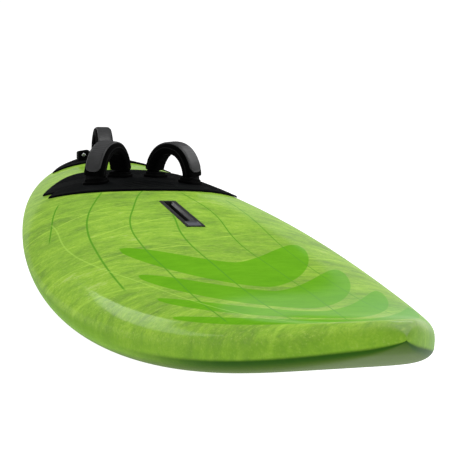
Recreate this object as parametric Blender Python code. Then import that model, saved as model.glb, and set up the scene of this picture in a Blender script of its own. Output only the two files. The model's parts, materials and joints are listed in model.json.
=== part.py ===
"""Wave and freestyle windsurf board with its fin, foot straps and deck fittings.

Metres, +Z up. The origin is the middle of the mast track's top face: +X runs to the nose, +Y to port.
The board is a sandwich: a deck shell and a hull shell that meet at the rail, round a foam core. The core
holds a dense block round the mast track box and one round the fin box, and six insert plugs for the straps.
Each strap is webbing in a padded sleeve under a smooth cover, clamped in two moulded anchors, each on a screw.
The fin slides fore and aft in its box, with its screw, nut plate and roll pin. The vent screw unscrews from
its housing and lifts its O-ring.
"""

import math

import bmesh
import bpy
from mathutils import Matrix, Vector

# ---------------------------------------------------------------- driving dimensions
LENGTH = 2.300
HALF_WIDTH = 0.30045
THICKNESS = 0.1222
WIDE_POINT = 0.5724  # widest station, as a fraction of the length from the tail
NOSE_OUTLINE = (2.312, 0.8371)  # exponents of the outline forward of the wide point
TAIL_OUTLINE = (1.6691, 0.4945)
NOSE_ROCKER = 0.179
ROCKER_START = 0.5991
ROCKER_POWER = 3.0915
TAIL_ROCKER = 0.008
THICK_POINT = 0.575
NOSE_THINNING = 0.76
TAIL_THINNING = 0.5543
RAIL_LEVEL = 0.40  # height of the widest line of the rail, as a fraction of the thickness
DECK_SECTION = (2.2267, 1.4054)
NOSE_SECTION = (6.0, 3.6)  # the deck is flatter across, with fuller rails, toward the nose
NOSE_RAIL_LEVEL = 0.30
HULL_SECTION = (7.0, 2.2)
NOSE_ROUND = 0.026
TAIL_ROUND = 0.018
SKIN = 0.0045
GAP = 0.0003
STATIONS = 32
DECK_COLUMNS = 7  # from the centreline to the rail
HULL_COLUMNS = 5

TRACK_STATION = 1.330  # centre of the mast track, from the tail
TRACK_PROUD = 0.001
TRACK = (0.262, 0.0345, 0.030)
TRACK_SLOT = (-0.123, 0.084, 0.0105)  # aft end, front end, width
TRACK_GROOVE = (0.0205, -0.0115, -0.0225)  # width, top, bottom
TRACK_BLOCK = (0.340, 0.096, 0.052)

FRONT_STRAP_X = 0.880 - TRACK_STATION
FRONT_STRAP_Y = 0.0795
FRONT_STRAP_TURN = 39.6  # degrees from the centreline to the strap's span
REAR_STRAP_X = 0.186 - TRACK_STATION
ANCHOR_HALF_SPAN = 0.050
PAD_THICKNESS = 0.0052
PAD_TOP = PAD_THICKNESS + GAP

ARCH_HALF_SPAN = 0.0640  # middle of the webbing at the foot of the arch
ARCH_RISE = 0.0805
ARCH_POWER = (2.25, 1.85)
SLEEVE_WIDTH = 0.0550
SLEEVE_OUT = 0.0112  # padding outside the webbing
SLEEVE_IN = 0.0175  # padding inside the webbing at the top of the arch
SLEEVE_IN_FOOT = 0.0180  # and at its feet
WEBBING = (0.046, 0.0020)
COVER = (0.041, 0.0016)
ANCHOR = (0.0415, 0.0600, 0.0120)  # along the span, across it, height

FIN_STATION = 0.255
FIN_DEPTH = 0.225
FIN_ROOT = 0.112
FIN_BOX = (0.268, 0.031, 0.031)
FIN_SLOT = (0.248, 0.0098, 0.0268)
FIN_GROOVE = (0.0176, 0.0120, 0.0186)  # width, lower face, upper face, up from the hull
FIN_TAB = (0.184, 0.0088, 0.0245)
FIN_TRAVEL = 0.030
FIN_BLOCK = (0.330, 0.090, 0.040)

VENT_X = 0.575 - TRACK_STATION
VENT_PITCH = 0.00125

BOTTOM = -(THICKNESS + TRACK_PROUD)  # height of the flat of the hull


# ---------------------------------------------------------------- the board's surface
def half_width(x):
    s = (x + TRACK_STATION) / LENGTH
    if s >= WIDE_POINT:
        part, (a, b) = min(1.0, (s - WIDE_POINT) / (1 - WIDE_POINT)), NOSE_OUTLINE
    else:
        part, (a, b) = min(1.0, (WIDE_POINT - s) / WIDE_POINT), TAIL_OUTLINE
    return HALF_WIDTH * max(0.0, 1 - part**a) ** b


def rocker(x):
    s = (x + TRACK_STATION) / LENGTH
    u = min(1.0, max(0.0, (s - ROCKER_START) / (1 - ROCKER_START)))
    v = max(0.0, (0.3 - s) / 0.3)
    return BOTTOM + NOSE_ROCKER * u**ROCKER_POWER + TAIL_ROCKER * v**2


def thickness(x):
    s = (x + TRACK_STATION) / LENGTH
    f = min(1.0, max(0.0, (s - THICK_POINT) / (1 - THICK_POINT)))
    a = min(1.0, max(0.0, (THICK_POINT - s) / THICK_POINT))
    return THICKNESS * (1 - NOSE_THINNING * f**2.4534 - TAIL_THINNING * a**2.2)


def nose_share(x):
    """0 up to the thickest station, rising to 1 at the nose."""
    s = (x + TRACK_STATION) / LENGTH
    return min(1.0, max(0.0, (s - THICK_POINT) / (1 - THICK_POINT))) ** 2


def rail_level(x):
    return RAIL_LEVEL + (NOSE_RAIL_LEVEL - RAIL_LEVEL) * nose_share(x)


def section(x, side):
    if side < 0:
        return HULL_SECTION
    return tuple(a + (b - a) * nose_share(x) for a, b in zip(DECK_SECTION, NOSE_SECTION))


def rail_height(x):
    return rocker(x) + rail_level(x) * thickness(x)


def end_round(x, nose, tail):
    """1 along the board, falling to 0 at the two tips on a quarter ellipse."""
    from_tail, from_nose = x + TRACK_STATION, LENGTH - TRACK_STATION - x
    value = 1.0
    if from_nose < nose:
        value *= math.sqrt(max(0.0, 1 - (1 - from_nose / nose) ** 2))
    if from_tail < tail:
        value *= math.sqrt(max(0.0, 1 - (1 - from_tail / tail) ** 2))
    return value


def deck_rise(x):
    return (1 - rail_level(x)) * thickness(x) * end_round(x, NOSE_ROUND, TAIL_ROUND)


def hull_drop(x):
    return rail_level(x) * thickness(x) * end_round(x, NOSE_ROUND * 1.3, TAIL_ROUND * 0.5)


def deck_z(x, y):
    q = min(1.0, abs(y) / max(half_width(x), 1e-6))
    p, m = section(x, 1)
    return rail_height(x) + deck_rise(x) * (1 - q**p) ** (1 / m)


def shrunk(value, inset):
    """A length less the inset, and half of the length where that would be less."""
    return value * (1 - inset / max(value, 2 * inset)) if inset else value


def surface_point(x, angle, inset, side):
    """The point of the section at x: angle runs from -90 at the starboard rail over 0 to 90 at the port rail. side is +1 for the deck and -1 for the hull."""
    p, m = section(x, side)
    at = inset - TRACK_STATION + (x + TRACK_STATION) * (LENGTH - 2 * inset) / LENGTH
    width = shrunk(half_width(x), inset)
    rise = shrunk(deck_rise(x) if side > 0 else hull_drop(x), inset)
    if abs(angle) > 89.99:
        return Vector((at, math.copysign(width, angle), rail_height(at)))
    turn = math.radians(abs(angle))
    y = math.copysign(width * math.sin(turn) ** (2 / p), angle)
    return Vector((at, y, rail_height(at) + side * rise * math.cos(turn) ** (2 / m)))


def stations():
    return [
        -TRACK_STATION + LENGTH * 0.5 * (1 - math.cos(math.pi * i / STATIONS))
        for i in range(STATIONS + 1)
    ]


# ---------------------------------------------------------------- building helpers
def clear():
    for obj in list(bpy.data.objects):
        bpy.data.objects.remove(obj, do_unlink=True)
    for mesh in list(bpy.data.meshes):
        if not mesh.users:
            bpy.data.meshes.remove(mesh)


def make_material(name, colour, roughness, metallic=0.0):
    material = bpy.data.materials.new(name)
    material.use_nodes = True
    shader = material.node_tree.nodes["Principled BSDF"]
    shader.inputs["Base Color"].default_value = (*colour, 1.0)
    shader.inputs["Roughness"].default_value = roughness
    shader.inputs["Metallic"].default_value = metallic
    material.diffuse_color = (*colour, 1.0)
    return material


def add(name, bm, material=None, sharp=35.0):
    bmesh.ops.recalc_face_normals(bm, faces=bm.faces)
    mesh = bpy.data.meshes.new(name)
    bm.to_mesh(mesh)
    bm.free()
    if material:
        mesh.materials.append(material)
    mesh.shade_smooth()
    mesh.set_sharp_from_angle(angle=math.radians(sharp))
    obj = bpy.data.objects.new(name, mesh)
    bpy.context.scene.collection.objects.link(obj)
    return obj


def guide(obj):
    obj.hide_render = True
    obj.display_type = "WIRE"
    return obj


def box(name, low, high, material=None, frame=None):
    bm = bmesh.new()
    bmesh.ops.create_cube(bm, size=1.0)
    low, high = Vector(low), Vector(high)
    size, middle = high - low, (high + low) / 2
    for v in bm.verts:
        v.co = Vector([v.co[i] * size[i] + middle[i] for i in range(3)])
    if frame:
        bm.transform(frame)
    return add(name, bm, material, 30)


def turned(name, profile, material=None, steps=16, frame=None, ring=False):
    """A profile of (radius, height) turned round Z: from axis to axis, or a closed ring off the axis."""
    bm = bmesh.new()
    verts = [bm.verts.new((r, 0, z)) for r, z in profile]
    pairs = list(zip(verts, verts[1:])) + ([(verts[-1], verts[0])] if ring else [])
    edges = [bm.edges.new(pair) for pair in pairs]
    bmesh.ops.spin(
        bm, geom=verts + edges, cent=(0, 0, 0), axis=(0, 0, 1), dvec=(0, 0, 0), angle=math.tau, steps=steps, use_merge=True
    )
    bmesh.ops.remove_doubles(bm, verts=bm.verts, dist=1e-6)
    if frame:
        bm.transform(frame)
    return add(name, bm, material)


def skin_rings(bm, rings, closed=True, caps=True):
    """Faces between successive rings of points, and over the two end rings."""
    rows = [[bm.verts.new(p) for p in ring] for ring in rings]
    count = len(rows[0])
    for a, b in zip(rows, rows[1:]):
        for i in range(count if closed else count - 1):
            j = (i + 1) % count
            bm.faces.new((a[i], a[j], b[j], b[i]))
    if caps:
        bm.faces.new(rows[0])
        bm.faces.new(list(reversed(rows[-1])))
    return rows


def cut(obj, *cutters, operation="DIFFERENCE"):
    for cutter in cutters:
        modifier = obj.modifiers.new(cutter.name, "BOOLEAN")
        modifier.object = cutter
        modifier.operation = operation
        modifier.solver = "EXACT"
    return obj


def drill(name, x, y, radius, low, high, steps=16):
    return guide(
        turned(name, [(0, high), (radius, high), (radius, low), (0, low)], steps=steps, frame=Matrix.Translation((x, y, 0)))
    )


# ---------------------------------------------------------------- shells and core
def half_surface(bm, inset, side, columns, shift, rim=None):
    """One half of the board's surface, as its pole at the tail, its rows of points and its pole at the nose. rim gives the rail points that it shares."""
    angles = [90.0 * i / columns for i in range(-columns, columns + 1)]
    lift = Vector((0, 0, shift))
    xs = stations()
    if rim:
        tail, nose = rim[0], rim[-1]
    else:
        tail = bm.verts.new(surface_point(xs[0], 90, inset, side) + lift)
        nose = bm.verts.new(surface_point(xs[-1], 90, inset, side) + lift)
    rows = []
    for n, x in enumerate(xs[1:-1], 1):
        row = []
        for angle in angles:
            if rim and abs(angle) == 90:
                row.append(rim[n][0 if angle < 0 else 1])
                continue
            low = lift * (1 if abs(angle) == 90 else 0)
            row.append(bm.verts.new(surface_point(x, angle, inset, side) + low))
        rows.append(row)
    for a, b in zip(rows[0], rows[0][1:]):
        bm.faces.new((tail, a, b))
    for a, b in zip(rows[-1], rows[-1][1:]):
        bm.faces.new((nose, b, a))
    for first, second in zip(rows, rows[1:]):
        for i in range(len(angles) - 1):
            bm.faces.new((first[i], second[i], second[i + 1], first[i + 1]))
    return tail, rows, nose


def shell(name, side, columns, material):
    """A skin: its outer and inner surfaces, joined by a narrow face along the seam at the rail."""
    bm = bmesh.new()
    shift = side * GAP / 2
    loops = []
    for inset in (0.0, SKIN):
        tail, rows, nose = half_surface(bm, inset, side, columns, shift)
        loops.append([tail, *(r[-1] for r in rows), nose, *(r[0] for r in reversed(rows))])
    outer, inner = loops
    for i in range(len(outer)):
        j = (i + 1) % len(outer)
        bm.faces.new((outer[i], outer[j], inner[j], inner[i]))
    return add(name, bm, material)


def core(name, material):
    bm = bmesh.new()
    inset = SKIN + GAP
    tail, rows, nose = half_surface(bm, inset, 1, DECK_COLUMNS, 0.0)
    rim = [tail, *((row[0], row[-1]) for row in rows), nose]
    half_surface(bm, inset, -1, HULL_COLUMNS, 0.0, rim)
    return add(name, bm, material)


# ---------------------------------------------------------------- deck pads
def pad(name, material, edge, front, rear, steps):
    """A sheet of foam on the deck, between a front and a rear edge that are functions of y, out to a share of the half width."""
    columns = [math.sin(math.radians(90.0 * i / DECK_COLUMNS)) ** (2 / DECK_SECTION[0]) for i in range(DECK_COLUMNS)]
    columns = [q for q in columns if q < edge - 0.02] + [edge]
    columns = [-q for q in reversed(columns[1:])] + columns
    bm = bmesh.new()
    layers = []
    for lift in (3 * GAP, PAD_TOP):
        rows = []
        for i in range(steps + 1):
            t = 0.5 - 0.5 * math.cos(math.pi * i / steps)
            row = []
            for q in columns:
                x = 0.5 * (rear(0.0) + front(0.0))
                for _ in range(12):
                    y = q * half_width(x)
                    x = rear(y) + t * (front(y) - rear(y))
                y = q * half_width(x)
                row.append(bm.verts.new((x, y, deck_z(x, y) + lift)))
            rows.append(row)
        for a, b in zip(rows, rows[1:]):
            for k in range(len(columns) - 1):
                bm.faces.new((a[k], b[k], b[k + 1], a[k + 1]))
        layers.append([*rows[0], *(r[-1] for r in rows[1:]), *reversed(rows[-1][:-1]), *(r[0] for r in reversed(rows[1:-1]))])
    low, high = layers
    for i in range(len(low)):
        j = (i + 1) % len(low)
        bm.faces.new((low[i], low[j], high[j], high[i]))
    return add(name, bm, material)


def front_pad_front(y):
    return 1.060 - TRACK_STATION - 2.2 * y * y


def front_pad_rear(y):
    return 0.672 - TRACK_STATION + 0.21 * max(0.0, (abs(y) - 0.13) / 0.106) ** 1.7


def rear_pad_front(y):
    return 0.360 - TRACK_STATION + 2.0 * y * y


def rear_pad_rear(y):
    return 0.040 - TRACK_STATION + 0.8 * y * y


def notch(name, side):
    """The swallow-tailed cut in the outer end of the front pad."""
    outline = [(0.910, 0.208), (0.990, 0.248), (0.990, 0.300), (0.830, 0.300), (0.830, 0.269)]
    bm = bmesh.new()
    rings = [[(x - TRACK_STATION, side * y, z) for x, y in outline] for z in (-0.12, 0.03)]
    skin_rings(bm, rings)
    return guide(add(name, bm))


# ---------------------------------------------------------------- foot straps
def anchor_points(strap):
    """The two anchor places of a strap, as (x, y): its rear or inner one first."""
    if strap == "rear":
        return [(REAR_STRAP_X - ANCHOR_HALF_SPAN, 0.0), (REAR_STRAP_X + ANCHOR_HALF_SPAN, 0.0)]
    side = 1 if strap == "port" else -1
    turn = math.radians(FRONT_STRAP_TURN)
    dx, dy = ANCHOR_HALF_SPAN * math.cos(turn), ANCHOR_HALF_SPAN * math.sin(turn)
    return [
        (FRONT_STRAP_X - dx, side * (FRONT_STRAP_Y - dy)),
        (FRONT_STRAP_X + dx, side * (FRONT_STRAP_Y + dy)),
    ]


def strap_frame(strap):
    """The strap's own axes: X along its span, Y across the band, Z away from the deck, from the pad's top between the anchors."""
    inner, outer = [Vector((x, y, deck_z(x, y) + PAD_TOP)) for x, y in anchor_points(strap)]
    along = (outer - inner).normalized()
    across = Vector((0, 0, 1)).cross(along).normalized()
    up = along.cross(across)
    middle = (inner + outer) / 2
    return Matrix(
        [[along[i], across[i], up[i], middle[i]] for i in range(3)] + [[0, 0, 0, 1]]
    )


def arch(t):
    """The middle line of the webbing over the foot: t in degrees from 0 at one foot to 180 at the other, as (span, height)."""
    c, s = math.cos(math.radians(t)), math.sin(math.radians(t))
    a, b = ARCH_POWER
    return math.copysign(ARCH_HALF_SPAN * abs(c) ** (2 / a), c), 0.001 + ARCH_RISE * abs(s) ** (2 / b)


def band(name, frame, angles, section, material):
    """A band along the arch. section gives, for an angle, the list of (out, across) corners of the band there."""
    bm = bmesh.new()
    rings = []
    for t in angles:
        (u, n), out = arch(t), outward(t)
        rings.append([(u + d * out.x, v, n + d * out.y) for d, v in section(t)])
    skin_rings(bm, rings)
    bm.transform(frame)
    return add(name, bm, material, 40)


def outward(t):
    """Unit vector away from the inside of the arch, in its plane."""
    (u0, n0), (u1, n1) = arch(max(0.0, t - 0.5)), arch(min(180.0, t + 0.5))
    along = Vector((u1 - u0, n1 - n0)).normalized()
    return Vector((along.y, -along.x))


def spread(first, last, count):
    return [first + (last - first) * i / (count - 1) for i in range(count)]


def sleeve_inside(t):
    return SLEEVE_IN + (SLEEVE_IN_FOOT - SLEEVE_IN) * (1 - math.sin(math.radians(t))) ** 1.3


def sleeve(name, frame, material):
    """The padded sleeve: a flattened tube round the webbing, open at both feet."""
    half, inner_half = SLEEVE_WIDTH / 2, WEBBING[0] / 2 + 0.0006
    slot = WEBBING[1] / 2 + 0.0005
    bm = bmesh.new()
    outer, inner = [], []
    for t in spread(*SLEEVE_SPAN, 19):
        (u, n), out = arch(t), outward(t)
        high, low = SLEEVE_OUT, -sleeve_inside(t)
        ease = 0.005
        corners = [
            (high, -half + ease), (high, half - ease), (high - ease, half), (low + ease, half),
            (low, half - ease), (low, -half + ease), (low + ease, -half), (high - ease, -half),
        ]
        hole = [
            (slot, -inner_half), (slot, inner_half), (slot / 3, inner_half), (-slot / 3, inner_half),
            (-slot, inner_half), (-slot, -inner_half), (-slot / 3, -inner_half), (slot / 3, -inner_half),
        ]
        outer.append([bm.verts.new((u + d * out.x, v, n + d * out.y)) for d, v in corners])
        inner.append([bm.verts.new((u + d * out.x, v, n + d * out.y)) for d, v in hole])
    for rows in (outer, inner):
        count = len(rows[0])
        for a, b in zip(rows, rows[1:]):
            for i in range(count):
                j = (i + 1) % count
                bm.faces.new((a[i], a[j], b[j], b[i]))
    for big, small in ((outer[0], inner[0]), (outer[-1], inner[-1])):
        for i in range(len(big)):
            j = (i + 1) % len(big)
            bm.faces.new((big[i], big[j], small[j], small[i]))
    bm.transform(frame)
    return add(name, bm, material, 40)


SLEEVE_SPAN = (15.8, 164.2)


def webbing(name, frame, material):
    half, thick = WEBBING[0] / 2, WEBBING[1] / 2
    angles = [2.2, 5.0, 8.0, *spread(12.0, 168.0, 21), 172.0, 175.0, 177.8]
    return band(name, frame, angles, lambda t: [(thick, -half), (thick, half), (-thick, half), (-thick, -half)], material)


def cover(name, frame, material):
    """The smooth outer panel: a strip on the sleeve, with rounded ends above the feet."""
    low = SLEEVE_OUT + GAP
    high = low + COVER[1]
    first, last, full = 20.0, 160.0, COVER[0] / 2

    def section(t):
        near = min(t - first, last - t)
        share = math.sqrt(max(0.0, 1 - (1 - min(1.0, near / 9.0)) ** 2))
        half = full * (0.45 + 0.55 * share)
        return [(high, -half), (high, half), (low, half), (low, -half)]

    angles = [first, first + 2, first + 5, first + 9, *spread(36.0, 144.0, 15), last - 9, last - 5, last - 2, last]
    return band(name, frame, angles, section, material)


def anchor(name, frame, centre, outer_sign, material):
    """A moulded foot in two rounded steps that follows the pad's curve, with a slot for the webbing and a bore for its screw."""
    half_u, half_v, high = ANCHOR[0] / 2, ANCHOR[1] / 2, ANCHOR[2]
    axis = Vector((frame[0][0], frame[1][0], 0)).normalized() * outer_sign
    side = Vector((-axis.y, axis.x, 0))
    shift = 0.0044

    def ring(inset, height):
        points, corner = [], max(0.002, 0.013 - inset)
        a, b = half_u - inset, half_v - inset
        for cu, cv, start in ((1, 1, 0), (-1, 1, 90), (-1, -1, 180), (1, -1, 270)):
            for k in range(4):
                turn = math.radians(start + 30 * k)
                u = cu * (a - corner) + corner * math.cos(turn) + shift
                v = cv * (b - corner) + corner * math.sin(turn)
                x, y = centre[0] + axis.x * u + side.x * v, centre[1] + axis.y * u + side.y * v
                points.append(Vector((x, y, deck_z(x, y) + PAD_TOP + 0.0009 + height)))
        return points

    bm = bmesh.new()
    skin_rings(
        bm, [ring(0.0, 0.0), ring(0.0, 0.0045), ring(0.0012, 0.0058), ring(0.0042, 0.0062), ring(0.0042, high - 0.0016), ring(0.0060, high)]
    )
    foot = add(name, bm, material)
    base = deck_z(*centre) + PAD_TOP + 0.0009
    seat = base + 0.0052
    bore = guide(
        turned(
            name + "_bore_cut",
            [(0, base + 0.03), (0.0070, base + 0.03), (0.0070, seat), (0.0034, seat), (0.0034, base - 0.01), (0, base - 0.01)],
            steps=16,
            frame=Matrix.Translation((*centre, 0)),
        )
    )
    u = outer_sign * ARCH_HALF_SPAN
    slot = guide(
        box(name + "_slot_cut", (u - 0.0026, -WEBBING[0] / 2 - 0.0010, 0.0032), (u + 0.0026, WEBBING[0] / 2 + 0.0010, 0.04), frame=frame)
    )
    return cut(foot, bore, slot)


def screw(name, centre, seat, length, material):
    """A pan head with a drive recess, seated at the height given, and its shank."""
    head, radius, shank = 0.0042, 0.0062, 0.0030
    profile = [
        (0, head - 0.0024), (0.0024, head - 0.0024), (0.0026, head), (radius - 0.0016, head), (radius, head - 0.0018), (radius, 0),
        (shank, 0), (shank, -length + 0.002), (0.0012, -length), (0, -length),
    ]
    return turned(name, profile, material, steps=10, frame=Matrix.Translation((*centre, seat)))


def plug(name, centre, material):
    """An insert plug with a blind bore, its flange level with the lowest side of the deck round it."""
    x, y = centre
    top = min(deck_z(x + 0.011 * math.cos(k), y + 0.011 * math.sin(k)) for k in range(7)) - 0.0006
    profile = [
        (0, -0.0205), (0.0034, -0.0205), (0.0034, -0.0), (0.0110, 0.0), (0.0110, -0.0022), (0.0085, -0.0030),
        (0.0085, -0.0225), (0.0, -0.0225),
    ]
    made = turned(name, profile, material, steps=12, frame=Matrix.Translation((x, y, top)))
    return made, drill(name + "_cut", x, y, 0.0116, top - 0.0235, top + 0.03)


# ---------------------------------------------------------------- fin
def fin_frame():
    """Axes of the fin box: its mouth lies in the hull's bottom, which rises a little toward the tail."""
    x = FIN_STATION - TRACK_STATION
    slope = (rocker(x + 0.1) - rocker(x - 0.1)) / 0.2
    angle = math.atan(slope)
    return Matrix.Translation((x, 0, rocker(x) + 0.0004)) @ Matrix.Rotation(-angle, 4, "Y")


def fin_blade(name, frame, material):
    """A raked foil, from inside its own tab down to a small tip."""
    bm = bmesh.new()
    rings = []
    shares = [0.0, 0.035, 0.10, 0.2, 0.32, 0.45, 0.58, 0.70, 0.80, 0.88, 0.94, 0.98, 1.0]
    for t in shares:
        chord = FIN_ROOT * (1 - 0.30 * t) * max(0.07, 1 - t**3.2) ** 0.5
        thick = 0.0096 * (1 - 0.55 * t) * (chord / FIN_ROOT) ** 0.35
        middle = -0.004 - 0.082 * t**1.75
        z = 0.0 - FIN_DEPTH * t if t else 0.0
        ring = []
        for k in range(12):
            turn = math.tau * k / 12
            along = 0.5 * chord * math.cos(turn)
            front = (along / chord + 0.5)
            ring.append((middle + along, 0.5 * thick * math.sin(turn) * (0.55 + 0.75 * front) ** 1.0, z))
        rings.append(ring)
    rings.insert(0, [(x, y * 0.9, 0.004) for x, y, _ in rings[0]])
    skin_rings(bm, rings)
    bm.transform(frame)
    return add(name, bm, material, 50)


# ---------------------------------------------------------------- the assembly
def build():
    clear()
    laminate = make_material("laminate_green", (0.24, 0.56, 0.05), 0.25)
    hull_paint = make_material("hull_green", (0.20, 0.50, 0.06), 0.25)
    eps = make_material("core_foam", (0.92, 0.92, 0.90), 0.8)
    dense = make_material("dense_foam", (0.82, 0.76, 0.58), 0.7)
    eva = make_material("pad_eva", (0.015, 0.016, 0.018), 0.75)
    moulded = make_material("box_plastic", (0.02, 0.02, 0.022), 0.35)
    foam = make_material("strap_padding", (0.012, 0.012, 0.013), 0.85)
    web = make_material("strap_webbing", (0.02, 0.02, 0.02), 0.9)
    face = make_material("strap_cover", (0.09, 0.09, 0.095), 0.5)
    foot = make_material("anchor_plastic", (0.015, 0.015, 0.016), 0.5)
    steel = make_material("stainless", (0.72, 0.73, 0.75), 0.25, 1.0)
    insert = make_material("insert_plastic", (0.85, 0.85, 0.83), 0.5)
    glass = make_material("fin_composite", (0.05, 0.06, 0.06), 0.25)
    brass = make_material("brass", (0.78, 0.60, 0.28), 0.3, 1.0)
    nylon = make_material("vent_plastic", (0.03, 0.03, 0.03), 0.4)
    nitrile = make_material("o_ring", (0.01, 0.01, 0.01), 0.7)

    deck = shell("deck_shell", 1, DECK_COLUMNS, laminate)
    hull = shell("hull_shell", -1, HULL_COLUMNS, hull_paint)
    foam_core = core("foam_core", eps)

    # mast track: a flanged box with a T slot, in a dense block under the deck
    long, wide, deep = TRACK
    track = box("mast_track_box", (-long / 2, -wide / 2, -deep), (long / 2, wide / 2, 0), moulded)
    aft, fore, slot = TRACK_SLOT
    groove, groove_top, groove_low = TRACK_GROOVE
    bm = bmesh.new()
    mouth = [(-slot / 2 - 0.0045, 0.001), (slot / 2 + 0.0045, 0.001), (slot / 2 + 0.0045, -0.0006), (slot / 2, -0.0050),
             (slot / 2, groove_low), (-slot / 2, groove_low), (-slot / 2, -0.0050), (-slot / 2 - 0.0045, -0.0006)]
    skin_rings(bm, [[(x, y, z) for y, z in mouth] for x in (aft, fore)])
    track_slot = guide(add("track_slot_cut", bm))
    track_groove = guide(box("track_groove_cut", (aft + 0.0006, -groove / 2, groove_low - 0.0003), (fore - 0.0006, groove / 2, groove_top)))
    cut(track, track_slot, track_groove)
    track_hole = guide(box("track_hole_cut", (-long / 2 - GAP, -wide / 2 - GAP, -deep - GAP), (long / 2 + GAP, wide / 2 + GAP, 0.02)))
    b_long, b_wide, b_deep = TRACK_BLOCK
    top = -TRACK_PROUD - SKIN - 2 * GAP - 0.0034
    block = box("mast_track_block", (-b_long / 2, -b_wide / 2, -b_deep), (b_long / 2, b_wide / 2, top), dense)
    cut(block, track_hole)
    block_hole = guide(box("track_block_cut", (-b_long / 2 - GAP, -b_wide / 2 - GAP, -b_deep - GAP), (b_long / 2 + GAP, b_wide / 2 + GAP, 0.02)))
    cut(deck, track_hole)
    cut(foam_core, block_hole)

    # deck pads
    front = pad("front_pad", eva, 0.86, front_pad_front, front_pad_rear, 10)
    rear = pad("rear_pad", eva, 0.84, rear_pad_front, rear_pad_rear, 10)
    cut(front, notch("notch_port_cut", 1), notch("notch_starboard_cut", -1))

    # foot straps
    for strap, prefix, under in (("port", "front_port", front), ("starboard", "front_starboard", front), ("rear", "rear", rear)):
        frame = strap_frame(strap)
        webbing(prefix + "_strap_webbing", frame, web)
        sleeve(prefix + "_strap_sleeve", frame, foam)
        cover(prefix + "_strap_cover", frame, face)
        names = ("aft", "fore") if strap == "rear" else ("inner", "outer")
        for centre, end, sign in zip(anchor_points(strap), names, (-1, 1)):
            anchor(f"{prefix}_anchor_{end}", frame, centre, sign, foot)
            seat = deck_z(*centre) + PAD_TOP + 0.0009 + 0.0052 + GAP
            screw(f"{prefix}_screw_{end}", centre, seat, 0.0285, steel)
            _, pocket = plug(f"{prefix}_plug_{end}", centre, insert)
            cut(deck, pocket)
            cut(foam_core, pocket)
            z = deck_z(*centre)
            cut(under, drill(f"{prefix}_pad_{end}_cut", *centre, 0.0043, z - 0.02, z + 0.02, steps=12))

    # a low moulded block on the starboard side of the rear strap, with a screw in its front face
    x0, x1, y0, y1 = 0.236 - TRACK_STATION, 0.290 - TRACK_STATION, 0.0520, 0.0870

    def ring(inset, lift):
        points, corner = [], 0.006
        for cx, cy, start in ((1, 1, 0), (-1, 1, 90), (-1, -1, 180), (1, -1, 270)):
            for k in range(3):
                turn = math.radians(start + 45 * k)
                x = (x0 + x1) / 2 + cx * ((x1 - x0) / 2 - inset - corner) + corner * math.cos(turn)
                y = (y0 + y1) / 2 + cy * ((y1 - y0) / 2 - inset - corner) + corner * math.sin(turn)
                points.append((x, -y, deck_z(x, y) + PAD_TOP + 0.0009 + lift))
        return points

    bm = bmesh.new()
    skin_rings(bm, [ring(0.0, 0.0), ring(0.0, 0.0230), ring(0.0018, 0.0262), ring(0.0050, 0.0272)])
    side_block = add("rear_side_block", bm, foot)
    y = -0.0705
    z = deck_z(x1, y) + PAD_TOP + 0.0155
    turn = Matrix.Translation((x1, y, z)) @ Matrix.Rotation(math.radians(90), 4, "Y")
    bore = [(0, 0.03), (0.0067, 0.03), (0.0067, -0.0025), (0.0034, -0.0025), (0.0034, -0.024), (0, -0.024)]
    cut(side_block, guide(turned("rear_side_block_cut", bore, frame=turn)))
    bolt = screw("rear_side_block_screw", (0, 0), 0.0, 0.0195, steel)
    bolt.data.transform(turn @ Matrix.Translation((0, 0, -0.0025 + GAP)))

    # vent: housing flush with the deck, an O-ring on its seat and the screw that closes it
    vent_z = deck_z(VENT_X, 0.0) + 0.0008
    place = Matrix.Translation((VENT_X, 0, vent_z))
    turned(
        "vent_housing",
        [(0.0072, 0), (0.0118, 0), (0.0120, -0.0004), (0.0120, -0.0022), (0.0090, -0.0030), (0.0090, -0.0185), (0.0016, -0.0185),
         (0.0016, -0.0150), (0.0043, -0.0150), (0.0043, -0.0048), (0.0072, -0.0048)],
        nylon, steps=16, frame=place, ring=True,
    )
    ring_r, ring_z, mean = 0.0009, -0.0036, 0.0055
    turned(
        "vent_oring",
        [(mean + ring_r * math.cos(math.tau * k / 6), ring_z + ring_r * math.sin(math.tau * k / 6)) for k in range(6)],
        nitrile, steps=16, frame=place, ring=True,
    )
    turned(
        "vent_screw",
        [(0, -0.0016), (0.0022, -0.0016), (0.0024, 0.0), (0.0060, 0.0), (0.0066, -0.0006), (0.0066, -0.0024), (0.0040, -0.0024),
         (0.0040, -0.0130), (0, -0.0130)],
        brass, steps=16, frame=place,
    )
    vent_hole = drill("vent_hole_cut", VENT_X, 0.0, 0.0124, vent_z - 0.0195, vent_z + 0.02)
    cut(deck, vent_hole)
    cut(foam_core, vent_hole)

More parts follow.
